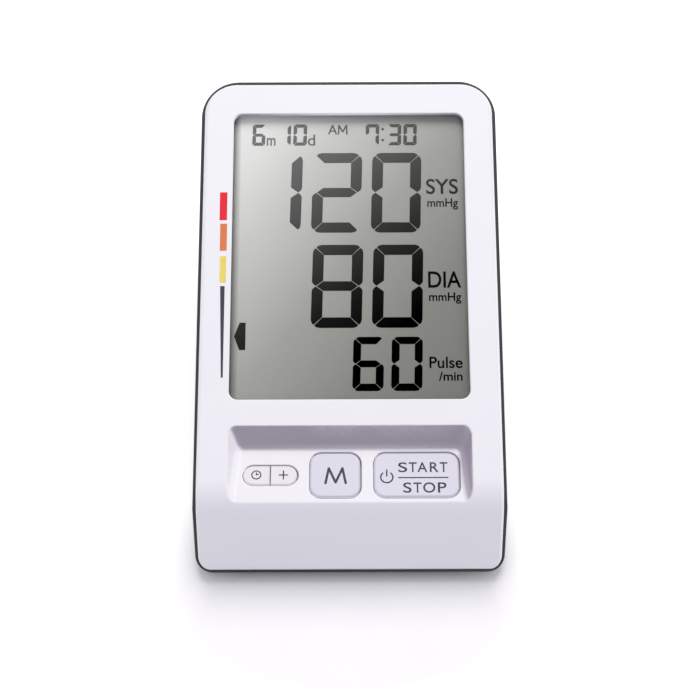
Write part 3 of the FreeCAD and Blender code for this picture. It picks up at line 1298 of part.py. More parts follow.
def dc_inlet():
    """Low-voltage inlet on the right wall: block on its shelf, round nose, and a pin in the middle."""
    mouth = V(BASE_HALF_WIDTH, INLET_Y, INLET_Z)
    body = box(
        (INNER_HALF_WIDTH - INLET_BODY_LENGTH, INNER_HALF_WIDTH),
        centred(INLET_Y, INLET_BODY_WIDTH),
        centred(INLET_Z, INLET_BODY_HEIGHT),
    )
    nose = rod(INLET_NOSE_RADIUS, V(INNER_HALF_WIDTH - CUT_MARGIN, INLET_Y, INLET_Z), mouth)
    bottom = mouth - X_AXIS * INLET_BORE_LENGTH
    bore = rod(INLET_BORE_RADIUS, bottom, mouth)
    pin = rod(INLET_PIN_RADIUS, bottom - X_AXIS * CUT_MARGIN, mouth - X_AXIS * INLET_PIN_RECESS)
    return fused([fused([body, nose]).cut(bore), pin])


def foot(place):
    """Rubber foot, sunk into the base."""
    x, y = place
    points = [
        (0, 0),
        (0, FOOT_RADIUS - FOOT_EDGE_RADIUS),
        (FOOT_EDGE_RADIUS, FOOT_RADIUS),
        (FOOT_HEIGHT + FOOT_SINK, FOOT_RADIUS),
        (FOOT_HEIGHT + FOOT_SINK, 0),
    ]
    return turned(points, V(x, y, 0), Z_AXIS)


def screw_groups():
    """Screws of each kind, one group of separate solids each."""
    case = [screw(CASE_SCREW, V(x, y, top - POST_SEAT), Z_AXIS) for x, y, top in case_boss_places()]
    strap = [screw(STRAP_SCREW, V(x, y, PUMP_Z + STRAP_THICKNESS), -Z_AXIS) for x, y in strap_ear_places()]
    board = [screw(BOARD_SCREW, V(x, row, BOARD_BACK), Z_AXIS) for x, row in board_boss_places()]
    board = [placed(piece, PANEL) for piece in board]
    key = [screw(BOARD_SCREW, V(x, row, KEY_BOARD_BOTTOM), Z_AXIS) for x, row in key_post_places()]
    key = [placed(piece, FLOOR) for piece in key]
    groups = {"case_screws": case, "strap_screws": strap, "board_screws": board, "key_board_screws": key}
    return {name: Part.makeCompound(screws) for name, screws in groups.items()}


def build_parts():
    """Every node's shape by name."""
    parts = {
        "upper_case": upper_case(),
        "lower_case": lower_case(),
        "display_window": display_window(),
        "lcd_panel": lcd_panel(),
        "lcd_frame": lcd_frame(),
        "contact_strip": contact_strip(),
        "main_board": main_board(),
        "main_chip": main_chip(),
        "buzzer": buzzer(),
        "pressure_sensor": pressure_sensor(),
        "key_board": key_board(),
        "ribbon_cable": ribbon_cable(),
        "pump_motor": pump_motor(),
        "pump_head": pump_head(),
        "pump_sleeve": pump_sleeve(),
        "pump_strap": pump_strap(),
        "air_manifold": air_manifold(),
        "leak_valve": leak_valve(),
        "exhaust_valve": exhaust_valve(),
        "cuff_socket": cuff_socket(),
        "socket_gasket": socket_gasket(),
        "dc_inlet": dc_inlet(),
        "battery_door": battery_door(),
        "contact_positive": contact_plate([3], True),
        "contact_negative": contact_plate([0], True),
        "contact_front_bridge": contact_plate([1, 2], True),
        "contact_rear_left": contact_plate([0, 1], False),
        "contact_rear_right": contact_plate([2, 3], False),
    }
    parts.update(hoses())
    parts.update(screw_groups())
    for name in KEYS:
        parts[name + "_key"] = key_cap(name)
        parts[name + "_plunger"] = switch_plunger(name)
        parts[name + "_switch"] = switch_housing(name)
    for index in range(CELL_COUNT):
        parts["battery_" + str(index + 1)] = battery_cell(index)
    for name, place in foot_places().items():
        parts[name] = foot(place)
    return parts


os.makedirs("parts", exist_ok=True)
for node, shape in build_parts().items():
    shape.exportStep("parts/" + node + ".step")
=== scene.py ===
import json
import math

import bmesh
import bpy
from mathutils import Matrix, Vector


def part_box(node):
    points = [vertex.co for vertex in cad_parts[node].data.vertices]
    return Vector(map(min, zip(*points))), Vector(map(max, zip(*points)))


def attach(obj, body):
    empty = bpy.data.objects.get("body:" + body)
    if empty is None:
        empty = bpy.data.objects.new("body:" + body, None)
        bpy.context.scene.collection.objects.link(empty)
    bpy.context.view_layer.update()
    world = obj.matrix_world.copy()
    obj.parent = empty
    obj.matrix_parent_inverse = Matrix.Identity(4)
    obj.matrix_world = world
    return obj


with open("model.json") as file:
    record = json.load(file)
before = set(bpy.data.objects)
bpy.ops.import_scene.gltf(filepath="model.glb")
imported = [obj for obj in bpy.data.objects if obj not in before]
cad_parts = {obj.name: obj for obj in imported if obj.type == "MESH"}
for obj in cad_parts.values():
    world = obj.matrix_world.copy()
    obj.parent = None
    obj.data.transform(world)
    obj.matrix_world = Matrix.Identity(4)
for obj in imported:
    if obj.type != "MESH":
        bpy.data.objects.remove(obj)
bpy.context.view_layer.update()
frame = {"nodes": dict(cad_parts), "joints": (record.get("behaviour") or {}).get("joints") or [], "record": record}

# Shapes are drawn in millimetres, and MM turns them into the frame's metres
MM = 0.001
HOUSING = "housing"
PRINT = 0.03
PANEL_SLOPE = math.radians(17.0)
PANEL_ABOVE_DISPLAY = 3.2
DISPLAY_CENTRE = Vector((0.0, 53.0, 0.0)) * MM
WHITE = (1.0, 1.0, 1.0, 1.0)


# Local frames on the sloping faces: x across, y up the slope, z out of the face
def place_on(node, slope):
    """Frame at the middle of the front edge of a node's top face."""
    turn = Matrix.Rotation(slope, 4, "X")
    level = turn.inverted()
    points = [level @ vertex.co for vertex in frame["nodes"][node].data.vertices]
    middle = (min(point.x for point in points) + max(point.x for point in points)) / 2
    front = min(point.y for point in points)
    top = max(point.z for point in points)
    return turn @ Matrix.Translation((middle, front, top))


press_axis = next(joint["axis"] for joint in frame["joints"] if joint["name"] == "memory_press")
FLOOR_SLOPE = math.atan2(press_axis[1], -press_axis[2])
DISPLAY = place_on("lcd_panel", PANEL_SLOPE)
TIME_KEY = place_on("time_key", FLOOR_SLOPE)
PLUS_KEY = place_on("plus_key", FLOOR_SLOPE)
MEMORY_KEY = place_on("memory_key", FLOOR_SLOPE)
START_KEY = place_on("start_key", FLOOR_SLOPE)


# Materials, with their lengths in metres
# Reaches, colour, facing side and floor slope of the painted gap light and painted well shade
GAP_REACH = 0.001
WELL_REACH = 0.035
WELL_SHADE = (0.45, 0.412, 0.472, 1.0)
WELL_SHADE_SIDE = (-0.6, -0.8, 0.0)
WELL_FLOOR_NORMAL = (0.0, -math.sin(FLOOR_SLOPE), math.cos(FLOOR_SLOPE))
RIGHT = (1.0, 0.0, 0.0)
# Where the painted shadow along the display's left edge starts and ends, across the display
PAINTED_SHADOW_START = -0.0393
PAINTED_SHADOW_END = -0.0367


def srgb(red, green, blue):
    """Linear colour from 0-255 display values."""
    values = [channel / 255 for channel in (red, green, blue)]
    return tuple(v / 12.92 if v <= 0.04045 else ((v + 0.055) / 1.055) ** 2.4 for v in values) + (1.0,)


def scaled(colour, factor):
    """Colour made lighter or darker."""
    return tuple(min(1.0, channel * factor) for channel in colour[:3]) + (1.0,)


class Nodes:
    """Small helper over one material's node tree."""

    def __init__(self, name):
        self.material = bpy.data.materials.new(name)
        self.material.use_nodes = True
        self.tree = self.material.node_tree
        self.shader = self.tree.nodes["Principled BSDF"]
        self.output = self.tree.nodes["Material Output"]
        self.place = self.add("ShaderNodeTexCoord").outputs["Object"]

    def add(self, kind, **settings):
        node = self.tree.nodes.new(kind)
        for key, value in settings.items():
            setattr(node, key, value)
        return node

    def link(self, source, target):
        self.tree.links.new(source, target)

    def noise(self, scale, detail, stretch=None):
        node = self.add("ShaderNodeTexNoise")
        node.inputs["Scale"].default_value = scale
        node.inputs["Detail"].default_value = detail
        source = self.place
        if stretch:
            mapping = self.add("ShaderNodeMapping")
            mapping.inputs["Scale"].default_value = stretch
            self.link(source, mapping.inputs["Vector"])
            source = mapping.outputs["Vector"]
        self.link(source, node.inputs["Vector"])
        return node.outputs["Fac"]

    def ramp(self, factor, stops):
        node = self.add("ShaderNodeValToRGB")
        elements = node.color_ramp.elements
        while len(elements) < len(stops):
            elements.new(0.5)
        for element, (position, colour) in zip(elements, stops):
            element.position = position
            element.color = colour
        self.link(factor, node.inputs["Fac"])
        return node.outputs["Color"]

    def spread(self, factor, low, high, start=0.3, end=0.7):
        """Value that runs from low to high as the factor runs from start to end."""
        node = self.add("ShaderNodeMapRange")
        node.inputs["From Min"].default_value = start
        node.inputs["From Max"].default_value = end
        node.inputs["To Min"].default_value = low
        node.inputs["To Max"].default_value = high
        self.link(factor, node.inputs["Value"])
        return node.outputs["Result"]

    def times(self, first, second):
        node = self.add("ShaderNodeVectorMath", operation="MULTIPLY")
        self.link(first, node.inputs[0])
        self.link(second, node.inputs[1])
        return node.outputs["Vector"]

    def dot(self, source, direction):
        node = self.add("ShaderNodeVectorMath", operation="DOT_PRODUCT")
        node.inputs[1].default_value = direction
        self.link(source, node.inputs[0])
        return node.outputs["Value"]

    def facing(self, direction):
        """How far the surface faces a direction, from -1 to 1."""
        return self.dot(self.add("ShaderNodeNewGeometry").outputs["Normal"], direction)

    def openness(self, reach, own_only):
        """Share of open space within reach of the surface."""
        node = self.add("ShaderNodeAmbientOcclusion", only_local=own_only, samples=16)
        node.inputs["Distance"].default_value = reach
        return node.outputs["AO"]

    def colour(self, source):
        self.link(source, self.shader.inputs["Base Color"])

    def roughness(self, source, low, high):
        self.link(self.spread(source, low, high), self.shader.inputs["Roughness"])

    def bump(self, height, strength, distance):
        node = self.add("ShaderNodeBump")
        node.inputs["Strength"].default_value = strength
        node.inputs["Distance"].default_value = distance
        self.link(height, node.inputs["Height"])
        self.link(node.outputs["Normal"], self.shader.inputs["Normal"])

    def set(self, **values):
        for key, value in values.items():
            self.shader.inputs[key.replace("_", " ")].default_value = value


def painted_gap_light(n, lift):
    """Painted light: a lighter colour in a narrow gap, standing in for light that bounces between close walls."""
    return n.spread(n.openness(GAP_REACH, own_only=False), lift, 1.0, 0.5, 0.95)


def painted_key_gap_light(n):
    """Painted light on a key's sides, in the gap around it."""
    return painted_gap_light(n, 1.6)


def painted_well_shade_and_light(n):
    """Painted shade on the back and right walls of the well and on its floor, and painted light on faces turned to
    the right and in narrow gaps.
    """
    # Painted shade where the well's own walls close in, on faces that look front and left
    depth = n.spread(n.openness(WELL_REACH, own_only=True), 0.0, 1.0, 0.985, 0.955)
    shaded = n.spread(n.facing(WELL_SHADE_SIDE), 0.0, 1.0, 0.08, 0.36)
    walls = n.ramp(n.times(depth, shaded), [(0.0, WHITE), (1.0, WELL_SHADE)])
    # Painted shade on faces about as level as the well floor
    floor = n.spread(n.facing(WELL_FLOOR_NORMAL), 1.0, 0.9, 0.987, 0.997)
    # Painted light on faces turned to the right
    painted_side_light = n.spread(n.facing(RIGHT), 1.0, 1.14, 0.2, 0.7)
    return n.times(n.times(walls, painted_gap_light(n, 1.15)), n.times(floor, painted_side_light))


def moulded(name, colour, roughness, grain=2500.0, depth=0.000012, variation=0.015, strength=0.25,
            tone=None, **extra):
    """Moulded plastic or rubber: slight colour drift, fine grain and uneven gloss, with the colour times an
    optional painted light and shade.
    """
    n = Nodes(name)
    drift = n.noise(scale=45.0, detail=2.0)
    base = n.ramp(drift, [(0.3, scaled(colour, 1 - variation)), (0.7, scaled(colour, 1 + variation))])
    # Painted light and shade, where a tone is given
    if tone:
        base = n.times(base, tone(n))
    n.colour(base)
    fine = n.noise(grain, detail=2.0)
    n.roughness(fine, roughness - 0.04, roughness + 0.04)
    n.bump(fine, strength, depth)
    n.set(**extra)
    return n.material


def shell_plastic(name, colour, roughness, tone):
    """Smooth pale plastic of the outer case and keys, with painted light and shade passed in as tone."""
    return moulded(name, colour, roughness, variation=0.006, strength=0.12, tone=tone)


def metal(name, colour, roughness, stretch=(1.0, 1.0, 40.0)):
    """Bare or plated metal with brushed streaks."""
    n = Nodes(name)
    streak = n.noise(scale=400.0, detail=3.0, stretch=stretch)
    n.colour(n.ramp(streak, [(0.3, scaled(colour, 0.9)), (0.7, scaled(colour, 1.06))]))
    n.roughness(streak, roughness - 0.07, roughness + 0.07)
    n.bump(streak, strength=0.15, distance=0.00001)
    n.set(Metallic=1.0)
    return n.material


def painted_glare_grade(n, across, along):
    """Factor for the painted reflection on the display: 0.5 at the display's centre, with slopes per metre across
    and along it.
    """
    direction = DISPLAY.to_3x3() @ Vector((across, along, 0.0))
    shift = n.add("ShaderNodeMath", operation="ADD")
    shift.inputs[1].default_value = 0.5 - direction.dot(DISPLAY @ DISPLAY_CENTRE)
    n.link(n.dot(n.place, direction), shift.inputs[0])
    return shift.outputs["Value"]


def display_film():
    """Grey reflective film of the display, with a painted reflection that lightens it towards the upper left
    corner and a painted shadow along its left edge.
    """
    n = Nodes("lcd_film")
    # Painted reflection: lighter towards the upper left corner
    base = n.ramp(painted_glare_grade(n, across=-7.0, along=5.2), [
        (0.0, srgb(116, 117, 113)),
        (0.24, srgb(130, 131, 125)),
        (0.5, srgb(159, 160, 153)),
        (0.78, srgb(203, 204, 198)),
        (1.0, srgb(238, 239, 235)),
    ])
    # Painted shadow along the left edge of the display
    painted_edge_shadow = n.spread(n.dot(n.place, RIGHT), 0.26, 1.0, PAINTED_SHADOW_START, PAINTED_SHADOW_END)
    n.colour(n.times(base, painted_edge_shadow))
    fine = n.noise(scale=5000.0, detail=1.0)
    n.roughness(fine, 0.42, 0.5)
    n.bump(fine, strength=0.04, distance=0.000008)
    n.set(Specular_IOR_Level=0.3)
    return n.material


def display_ink():
    """Dark liquid-crystal segments, with a painted reflection that washes them out towards the film's lighter
    upper left corner.
    """
    n = Nodes("lcd_ink")
    n.colour(n.ramp(painted_glare_grade(n, across=-5.5, along=8.5), [
        (0.2, srgb(1, 1, 1)),
        (0.35, srgb(24, 24, 23)),
        (0.5, srgb(51, 51, 49)),
        (0.7, srgb(84, 84, 82)),
        (1.0, srgb(122, 122, 120)),
    ]))
    n.roughness(n.noise(scale=4000.0, detail=1.0), 0.6, 0.7)
    n.set(Specular_IOR_Level=0.0)
    return n.material


def clear_pane():
    """Clear pane: see-through, with a gloss that grows at grazing angles."""
    n = Nodes("clear_pane")
    n.roughness(n.noise(scale=60.0, detail=2.0), 0.03, 0.06)
    n.set(Base_Color=(0.95, 0.95, 0.95, 1.0), Metallic=1.0)
    clear = n.add("ShaderNodeBsdfTransparent")
    edge = n.add("ShaderNodeLayerWeight")
    edge.inputs["Blend"].default_value = 0.5
    gloss = n.add("ShaderNodeMath", operation="POWER")
    gloss.inputs[1].default_value = 5.0
    n.link(edge.outputs["Facing"], gloss.inputs[0])
    mix = n.add("ShaderNodeMixShader")
    n.link(gloss.outputs["Value"], mix.inputs["Fac"])
    n.link(clear.outputs["BSDF"], mix.inputs[1])
    n.link(n.shader.outputs["BSDF"], mix.inputs[2])
    n.link(mix.outputs["Shader"], n.output.inputs["Surface"])
    return n.material


def ink(name, colour):
    """Printed ink with a slightly uneven coat."""
    n = Nodes(name)
    coat = n.noise(scale=900.0, detail=2.0)
    n.colour(n.ramp(coat, [(0.3, scaled(colour, 0.96)), (0.7, scaled(colour, 1.04))]))
    n.roughness(coat, 0.5, 0.6)
    n.set(Specular_IOR_Level=0.15)
    return n.material


def cell_wrap():
    """Plain battery sleeve: dark body with a bare grey band at each end."""
    n = Nodes("cell_wrap")
    low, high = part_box("battery_1")
    along = n.spread(n.dot(n.place, (0.0, 1.0, 0.0)), 0.0, 1.0, low.y, high.y)
    bare = srgb(190, 190, 188)
    sleeve = srgb(40, 48, 58)
    n.colour(n.ramp(along, [(0.09, bare), (0.1, sleeve), (0.88, sleeve), (0.89, bare)]))
    fine = n.noise(scale=700.0, detail=2.0)
    n.roughness(fine, 0.3, 0.4)
    n.bump(fine, strength=0.1, distance=0.00001)
    n.set(Metallic=0.4)
    return n.material


def solder_board():
    """Circuit board: green mask with lighter tracks."""
    n = Nodes("board_mask")
    cells = n.add("ShaderNodeTexVoronoi", distance="CHEBYCHEV", feature="DISTANCE_TO_EDGE")
    cells.inputs["Scale"].default_value = 320.0
    n.link(n.place, cells.inputs["Vector"])
    track = cells.outputs["Distance"]
    n.colour(n.ramp(track, [(0.04, srgb(58, 120, 74)), (0.07, srgb(22, 78, 44))]))
    n.roughness(n.noise(scale=900.0, detail=2.0), 0.35, 0.45)
    n.bump(track, strength=0.2, distance=0.00003)
    return n.material


case_dark = moulded("case_dark", srgb(38, 38, 42), 0.5, grain=1800.0, depth=0.00003, variation=0.08,
                    strength=0.4)
black_rubber = moulded("black_rubber", srgb(34, 34, 35), 0.75, grain=1400.0, depth=0.00003, variation=0.1)
black_plastic = moulded("black_plastic", srgb(24, 24, 26), 0.42, variation=0.1)
inner_plastic = moulded("inner_plastic", srgb(228, 227, 221), 0.5, variation=0.03)
steel = metal("steel", srgb(190, 190, 194), 0.34)
segment_ink = display_ink()
mark_ink = ink("mark_ink", srgb(70, 69, 86))

FINISH = {
    # The white case carries painted shade and light in and around its well.
    "case_white": shell_plastic("case_white", (0.865, 0.858, 0.889, 1.0), 0.36, painted_well_shade_and_light),
    "case_dark": case_dark,
    "window_clear": clear_pane(),
    "lcd_glass": display_film(),
    "inner_plastic": inner_plastic,
    "elastomer_grey": moulded("elastomer", srgb(150, 150, 152), 0.65, variation=0.15),
    "board_green": solder_board(),
    "chip_black": black_plastic,
    "sensor_white": inner_plastic,
    "ribbon_grey": moulded("ribbon", srgb(205, 206, 208), 0.45, grain=900.0, variation=0.06),
    "screw_steel": steel,
    "contact_nickel": metal("nickel", srgb(222, 216, 204), 0.28),
    "strap_steel": steel,
    "motor_can": metal("can_metal", srgb(205, 205, 206), 0.26, (40.0, 1.0, 1.0)),
    "pump_black": black_plastic,
    "sleeve_rubber": black_rubber,
    "hose_silicone": moulded("silicone", srgb(226, 226, 220), 0.38, variation=0.04, Subsurface_Weight=0.2),
    "socket_grey": moulded("grey_plastic", srgb(92, 93, 98), 0.42, variation=0.05),
    "inlet_black": black_plastic,
    "battery_wrap": cell_wrap(),
    "foot_rubber": black_rubber,
    # Both keys carry painted light in the gaps around them.
    "key_lavender": shell_plastic("key_lavender", (0.605, 0.593, 0.68, 1.0), 0.34, painted_key_gap_light),
    "key_white": shell_plastic("key_white", (0.697, 0.692, 0.716, 1.0), 0.34, painted_key_gap_light),
    "plunger_black": black_plastic,
}
for part in frame["record"]["subparts"]:
    mesh = frame["nodes"][part["node"]].data
    mesh.materials.clear()
    mesh.materials.append(FINISH[part["material_slot"]])


# Outlines, in millimetres
def arc(centre, radius, start, end, steps):
    """Points on a circle between two angles in degrees."""
    turns = [math.radians(start + (end - start) * index / steps) for index in range(steps + 1)]
    return [(centre[0] + radius * math.cos(turn), centre[1] + radius * math.sin(turn)) for turn in turns]


def ring(centre, outer, inner, start, end, steps=48):
    """Outline of a ring that is open between its end and start angles."""
    return arc(centre, outer, start, end, steps) + arc(centre, inner, end, start, steps)


def rectangle(left, right, low, high):
    """Outline of an upright rectangle."""
    return [(left, low), (right, low), (right, high), (left, high)]


def stroke(points, width):
    """Outline of a straight or bent stroke with round ends and round outer bends."""
    radius = width / 2
    runs = [Vector(end) - Vector(start) for start, end in zip(points, points[1:])]
    headings = [math.degrees(math.atan2(run.y, run.x)) for run in runs]
    left = []
    right = []
    for point, before, after in zip(points[1:-1], headings, headings[1:]):
        turn = (after - before + 180) % 360 - 180
        outer, inner, side = (left, right, 90) if turn < 0 else (right, left, -90)
        outer.append(arc(point, radius, before + side, before + turn + side, 6))
        reach = radius / math.cos(math.radians(turn / 2))
        inner.append(arc(point, reach, before + turn / 2 - side, before + turn / 2 - side, 1)[:1])
    tip = arc(points[-1], radius, headings[-1] + 90, headings[-1] - 90, 8)
    tail = arc(points[0], radius, headings[0] - 90, headings[0] - 270, 8)
    return sum(left, []) + tip + sum((piece[::-1] for piece in right[::-1]), []) + tail


SEGMENTS = {
    "0": "abcdef", "1": "bc", "2": "abdeg", "3": "abcdg", "6": "acdefg", "7": "abcf", "8": "abcdefg",
}
DIGIT_LEAN = math.tan(math.radians(1.5))
# Shares of a digit's corner radius
BEVEL = 0.34
ROUND_IN = 0.12
ROUND_ALONG = 0.55
# Shares of a digit's stroke width
WAIST = 0.46
POINT = 0.42


def digit(value, left, right, low, high, width, gap, corner):
    """Outlines of a seven-segment digit with round outer corners and bevelled joints."""
    middle = (low + high) / 2
    bevel = corner * BEVEL
    half = gap / 2
    sides = {1: right, -1: left}
    ends = {1: high, -1: low}

    def upright(side, end):
        outer = sides[side]
        inner = outer - side * width
        tip = ends[end]
        return [
            (inner, tip - end * (width + half)),
            (outer - side * bevel, tip - end * (bevel + gap)),
            (outer - side * corner * ROUND_IN, tip - end * (corner * ROUND_ALONG + half)),
            (outer, tip - end * corner),
            (outer, middle + end * width * 0.42),
            (outer - side * width * 0.12, middle + end * width * 0.2),
            (outer - side * width * 0.34, middle + end * half),
            (inner, middle + end * (width * 0.5 + half)),
        ]

    def level(end):
        tip = ends[end]
        return [
            (left + width + half, tip - end * width),
            (left + bevel + gap, tip - end * bevel),
            (left + corner * ROUND_ALONG + half, tip - end * corner * ROUND_IN),
            (left + corner, tip),
            (right - corner, tip),
            (right - corner * ROUND_ALONG - half, tip - end * corner * ROUND_IN),
            (right - bevel - gap, tip - end * bevel),
            (right - width - half, tip - end * width),
        ]

    waist = width * WAIST
    point = width * POINT
    crossbar = [
        (left + point, middle), (left + width, middle + waist), (right - width, middle + waist),
        (right - point, middle), (right - width, middle - waist), (left + width, middle - waist),
    ]
    shapes = {
        "a": level(1), "d": level(-1), "g": crossbar,
        "b": upright(1, 1), "c": upright(1, -1), "f": upright(-1, 1), "e": upright(-1, -1),
    }
    return [[(x + DIGIT_LEAN * (y - middle), y) for x, y in shapes[segment]] for segment in SEGMENTS[value]]


# Thin plates and prints that ride on the bodies
def add_piece(build, name, material, body):
    """New piece from a built mesh, riding on a body."""
    mesh = bpy.data.meshes.new(name)
    build.to_mesh(mesh)
    build.free()
    mesh.materials.append(material)
    piece = bpy.data.objects.new(name, mesh)
    bpy.context.scene.collection.objects.link(piece)
    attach(piece, body)


def plate(name, outlines, place, material, body=HOUSING, level=0.0, thickness=PRINT):
    """Thin raised plates with these outlines on a local frame."""
    build = bmesh.new()
    lift = place.to_3x3() @ Vector((0.0, 0.0, thickness * MM))
    for outline in outlines:
        corners = [build.verts.new(place @ (Vector((x, y, level)) * MM)) for x, y in outline]
        grown = bmesh.ops.extrude_face_region(build, geom=[build.faces.new(corners)])
        moved = [item for item in grown["geom"] if isinstance(item, bmesh.types.BMVert)]
        bmesh.ops.translate(build, verts=moved, vec=lift)
    bmesh.ops.recalc_face_normals(build, faces=build.faces)
    add_piece(build, name, material, body)


def glyphs(words, x_range, y_range, weight):
    """Mesh of plain words, stretched to fill a box."""
    curve = bpy.data.curves.new("glyph_curve", "FONT")
    curve.body = words
    curve.extrude = 0.5
    curve.offset = weight
    carrier = bpy.data.objects.new("glyph_carrier", curve)
    bpy.context.scene.collection.objects.link(carrier)
    bpy.context.view_layer.update()
    mesh = bpy.data.meshes.new_from_object(carrier.evaluated_get(bpy.context.evaluated_depsgraph_get()))
    bpy.data.objects.remove(carrier)
    low = [min(vertex.co[axis] for vertex in mesh.vertices) for axis in (0, 1)]
    high = [max(vertex.co[axis] for vertex in mesh.vertices) for axis in (0, 1)]
    for vertex in mesh.vertices:
        x = x_range[0] + (vertex.co.x - low[0]) / (high[0] - low[0]) * (x_range[1] - x_range[0])
        y = y_range[0] + (vertex.co.y - low[1]) / (high[1] - low[1]) * (y_range[1] - y_range[0])
        vertex.co = (x, y, (vertex.co.z + 0.5) * PRINT)
    return mesh


def lettering(name, boxes, y_range, place, material, body=HOUSING, weight=0.0):
    """One line of plain words or letters on a local frame, each stretched to its own width."""
    build = bmesh.new()
    for words, x_range in boxes:
        mesh = glyphs(words, x_range, y_range, weight)
        build.from_mesh(mesh)
        bpy.data.meshes.remove(mesh)
    bmesh.ops.remove_doubles(build, verts=build.verts, dist=0.00001)
    bmesh.ops.transform(build, matrix=place @ Matrix.Scale(MM, 4), verts=build.verts)
    add_piece(build, name, material, body)


def display_plate(name, outlines):
    """Thin dark plates on the display."""
    plate(name, outlines, DISPLAY, segment_ink)


# Readings, date and time on the display: each digit's left and right end, then the row's
# low end, high end, stroke width, gap between segments and corner radius
READINGS = [
    ([("1", -32.9, -15.95), ("2", -12.45, 4.3), ("0", 7.75, 24.5)], (61.7, 91.5, 3.75, 0.19, 2.9)),
    ([("8", -12.45, 4.5), ("0", 7.85, 24.6)], (27.2, 57.2, 3.75, 0.19, 2.9)),
    ([("6", 1.15, 11.35), ("0", 13.85, 24.05)], (5.0, 24.0, 2.6, 0.17, 1.9)),
]
DATE_AND_TIME = [
    ([
        ("6", -33.0, -28.6), ("1", -24.2, -19.8), ("0", -18.95, -14.3),
        ("7", 5.85, 10.5), ("3", 13.4, 18.05), ("0", 18.85, 23.4),
    ], (94.4, 102.5, 1.22, 0.1, 0.75)),
]
COLON = [((11.7, 96.4), 0.5), ((11.7, 100.6), 0.5)]
POINTER = [(-38.1, 24.3), (-36.3, 19.5), (-34.3, 19.5), (-34.3, 29.2), (-36.3, 29.2)]


def digit_rows(rows):
    """Outlines of all the digits in these rows."""
    return [outline for digits, sizes in rows for ends in digits for outline in digit(*ends, *sizes)]


display_plate("reading_digits", digit_rows(READINGS))
display_plate("date_digits", digit_rows(DATE_AND_TIME) + [arc(*dot, 0, 330, 11) for dot in COLON])
display_plate("scale_pointer", [POINTER])
display_plate("label_am", [
    stroke([(-6.75, 98.85), (-5.5, 102.1), (-4.25, 98.85)], 0.55),
    stroke([(-6.2, 99.9), (-4.8, 99.9)], 0.45),
    stroke([(-3.45, 98.85), (-3.35, 102.1), (-2.05, 99.6), (-0.75, 102.1), (-0.6, 98.85)], 0.55),
])

# Labels on the display: words, left and right end, low and high end, extra stroke weight
LABELS = [
    ("label_month", "m", (-28.1, -25.1), (94.4, 97.4), 0.012),
    ("label_day", "d", (-14.0, -11.5), (94.4, 98.6), 0.006),
    ("label_sys", "SYS", (26.3, 37.1), (75.9, 81.6), 0.012),
    ("label_sys_unit", "mmHg", (26.6, 37.0), (70.1, 74.3), 0.016),
    ("label_dia", "DIA", (26.4, 37.4), (41.5, 47.4), 0.012),
    ("label_dia_unit", "mmHg", (26.6, 37.3), (35.7, 39.8), 0.016),
    ("label_pulse", "Pulse", (26.3, 37.2), (12.9, 16.9), 0.012),
    ("label_pulse_unit", "/min", (29.3, 37.1), (8.5, 11.7), 0.016),
]
for name, words, x_range, y_range, weight in LABELS:
    lettering(name, [(words, x_range)], y_range, DISPLAY, segment_ink, weight=weight)

# Colour scale printed on the panel beside the window
NAVY_TAPER = [(-41.95, 8.7), (-41.3, 8.7), (-41.3, 41.0), (-42.8, 41.0)]
SCALE = [
    ("scale_red", (0.83, 0.025, 0.045, 1.0), rectangle(-43.5, -41.0, 65.0, 75.3)),
    ("scale_orange", (0.76, 0.22, 0.078, 1.0), rectangle(-43.2, -40.9, 53.8, 63.7)),
    ("scale_yellow", (0.86, 0.71, 0.17, 1.0), rectangle(-43.1, -40.95, 42.2, 51.8)),
    ("scale_navy", (0.058, 0.056, 0.08, 1.0), NAVY_TAPER),
]
for name, colour, outline in SCALE:
    plate(name, [outline], DISPLAY, ink(name + "_ink", colour), level=PANEL_ABOVE_DISPLAY)


# Marks on the keys
def key_mark(name, outlines, place, body):
    """Printed sign on a key."""
    plate(name, outlines, place, mark_ink, body)


CLOCK = (0.625, 4.8)
PLUS = (-0.825, 4.75)
POWER = (-9.6, 7.8)
key_mark("clock_mark", [
    ring(CLOCK, 1.65, 1.25, 0, 359.5),
    stroke([(CLOCK[0], CLOCK[1] + 0.85), CLOCK, (CLOCK[0] + 0.7, CLOCK[1] + 0.25)], 0.34),
], TIME_KEY, "time_button")
key_mark("plus_mark", [
    stroke([(PLUS[0] - 1.3, PLUS[1]), (PLUS[0] + 1.3, PLUS[1])], 0.42),
    stroke([(PLUS[0], PLUS[1] - 1.45), (PLUS[0], PLUS[1] - 0.22)], 0.42),
    stroke([(PLUS[0], PLUS[1] + 0.22), (PLUS[0], PLUS[1] + 1.45)], 0.42),
], PLUS_KEY, "plus_button")
key_mark("memory_mark", [
    stroke([(-3.1, 5.75), (-2.05, 11.1), (0.15, 6.0), (2.35, 11.1), (3.4, 5.75)], 0.8),
], MEMORY_KEY, "memory_button")
key_mark("power_mark", [
    ring(POWER, 2.2, 1.7, 125, 415),
    stroke([(POWER[0], POWER[1] + 0.5), (POWER[0], POWER[1] + 2.6)], 0.5),
], START_KEY, "start_button")
key_mark("start_stop_line", [rectangle(-6.0, 10.2, 7.44, 7.86)], START_KEY, "start_button")

START_LETTERS = [
    ("S", (-5.9, -3.0)), ("T", (-2.5, 0.1)), ("A", (0.3, 3.5)), ("R", (4.3, 7.1)), ("T", (7.5, 10.0)),
]
STOP_LETTERS = [("S", (-4.4, -1.7)), ("T", (-1.1, 1.5)), ("O", (2.0, 5.9)), ("P", (6.7, 9.5))]
KEY_WORDS = [("start_mark", START_LETTERS, (9.6, 13.2)), ("stop_mark", STOP_LETTERS, (2.2, 5.9))]
for name, letters, y_range in KEY_WORDS:
    lettering(name, letters, y_range, START_KEY, mark_ink, "start_button", weight=0.01)

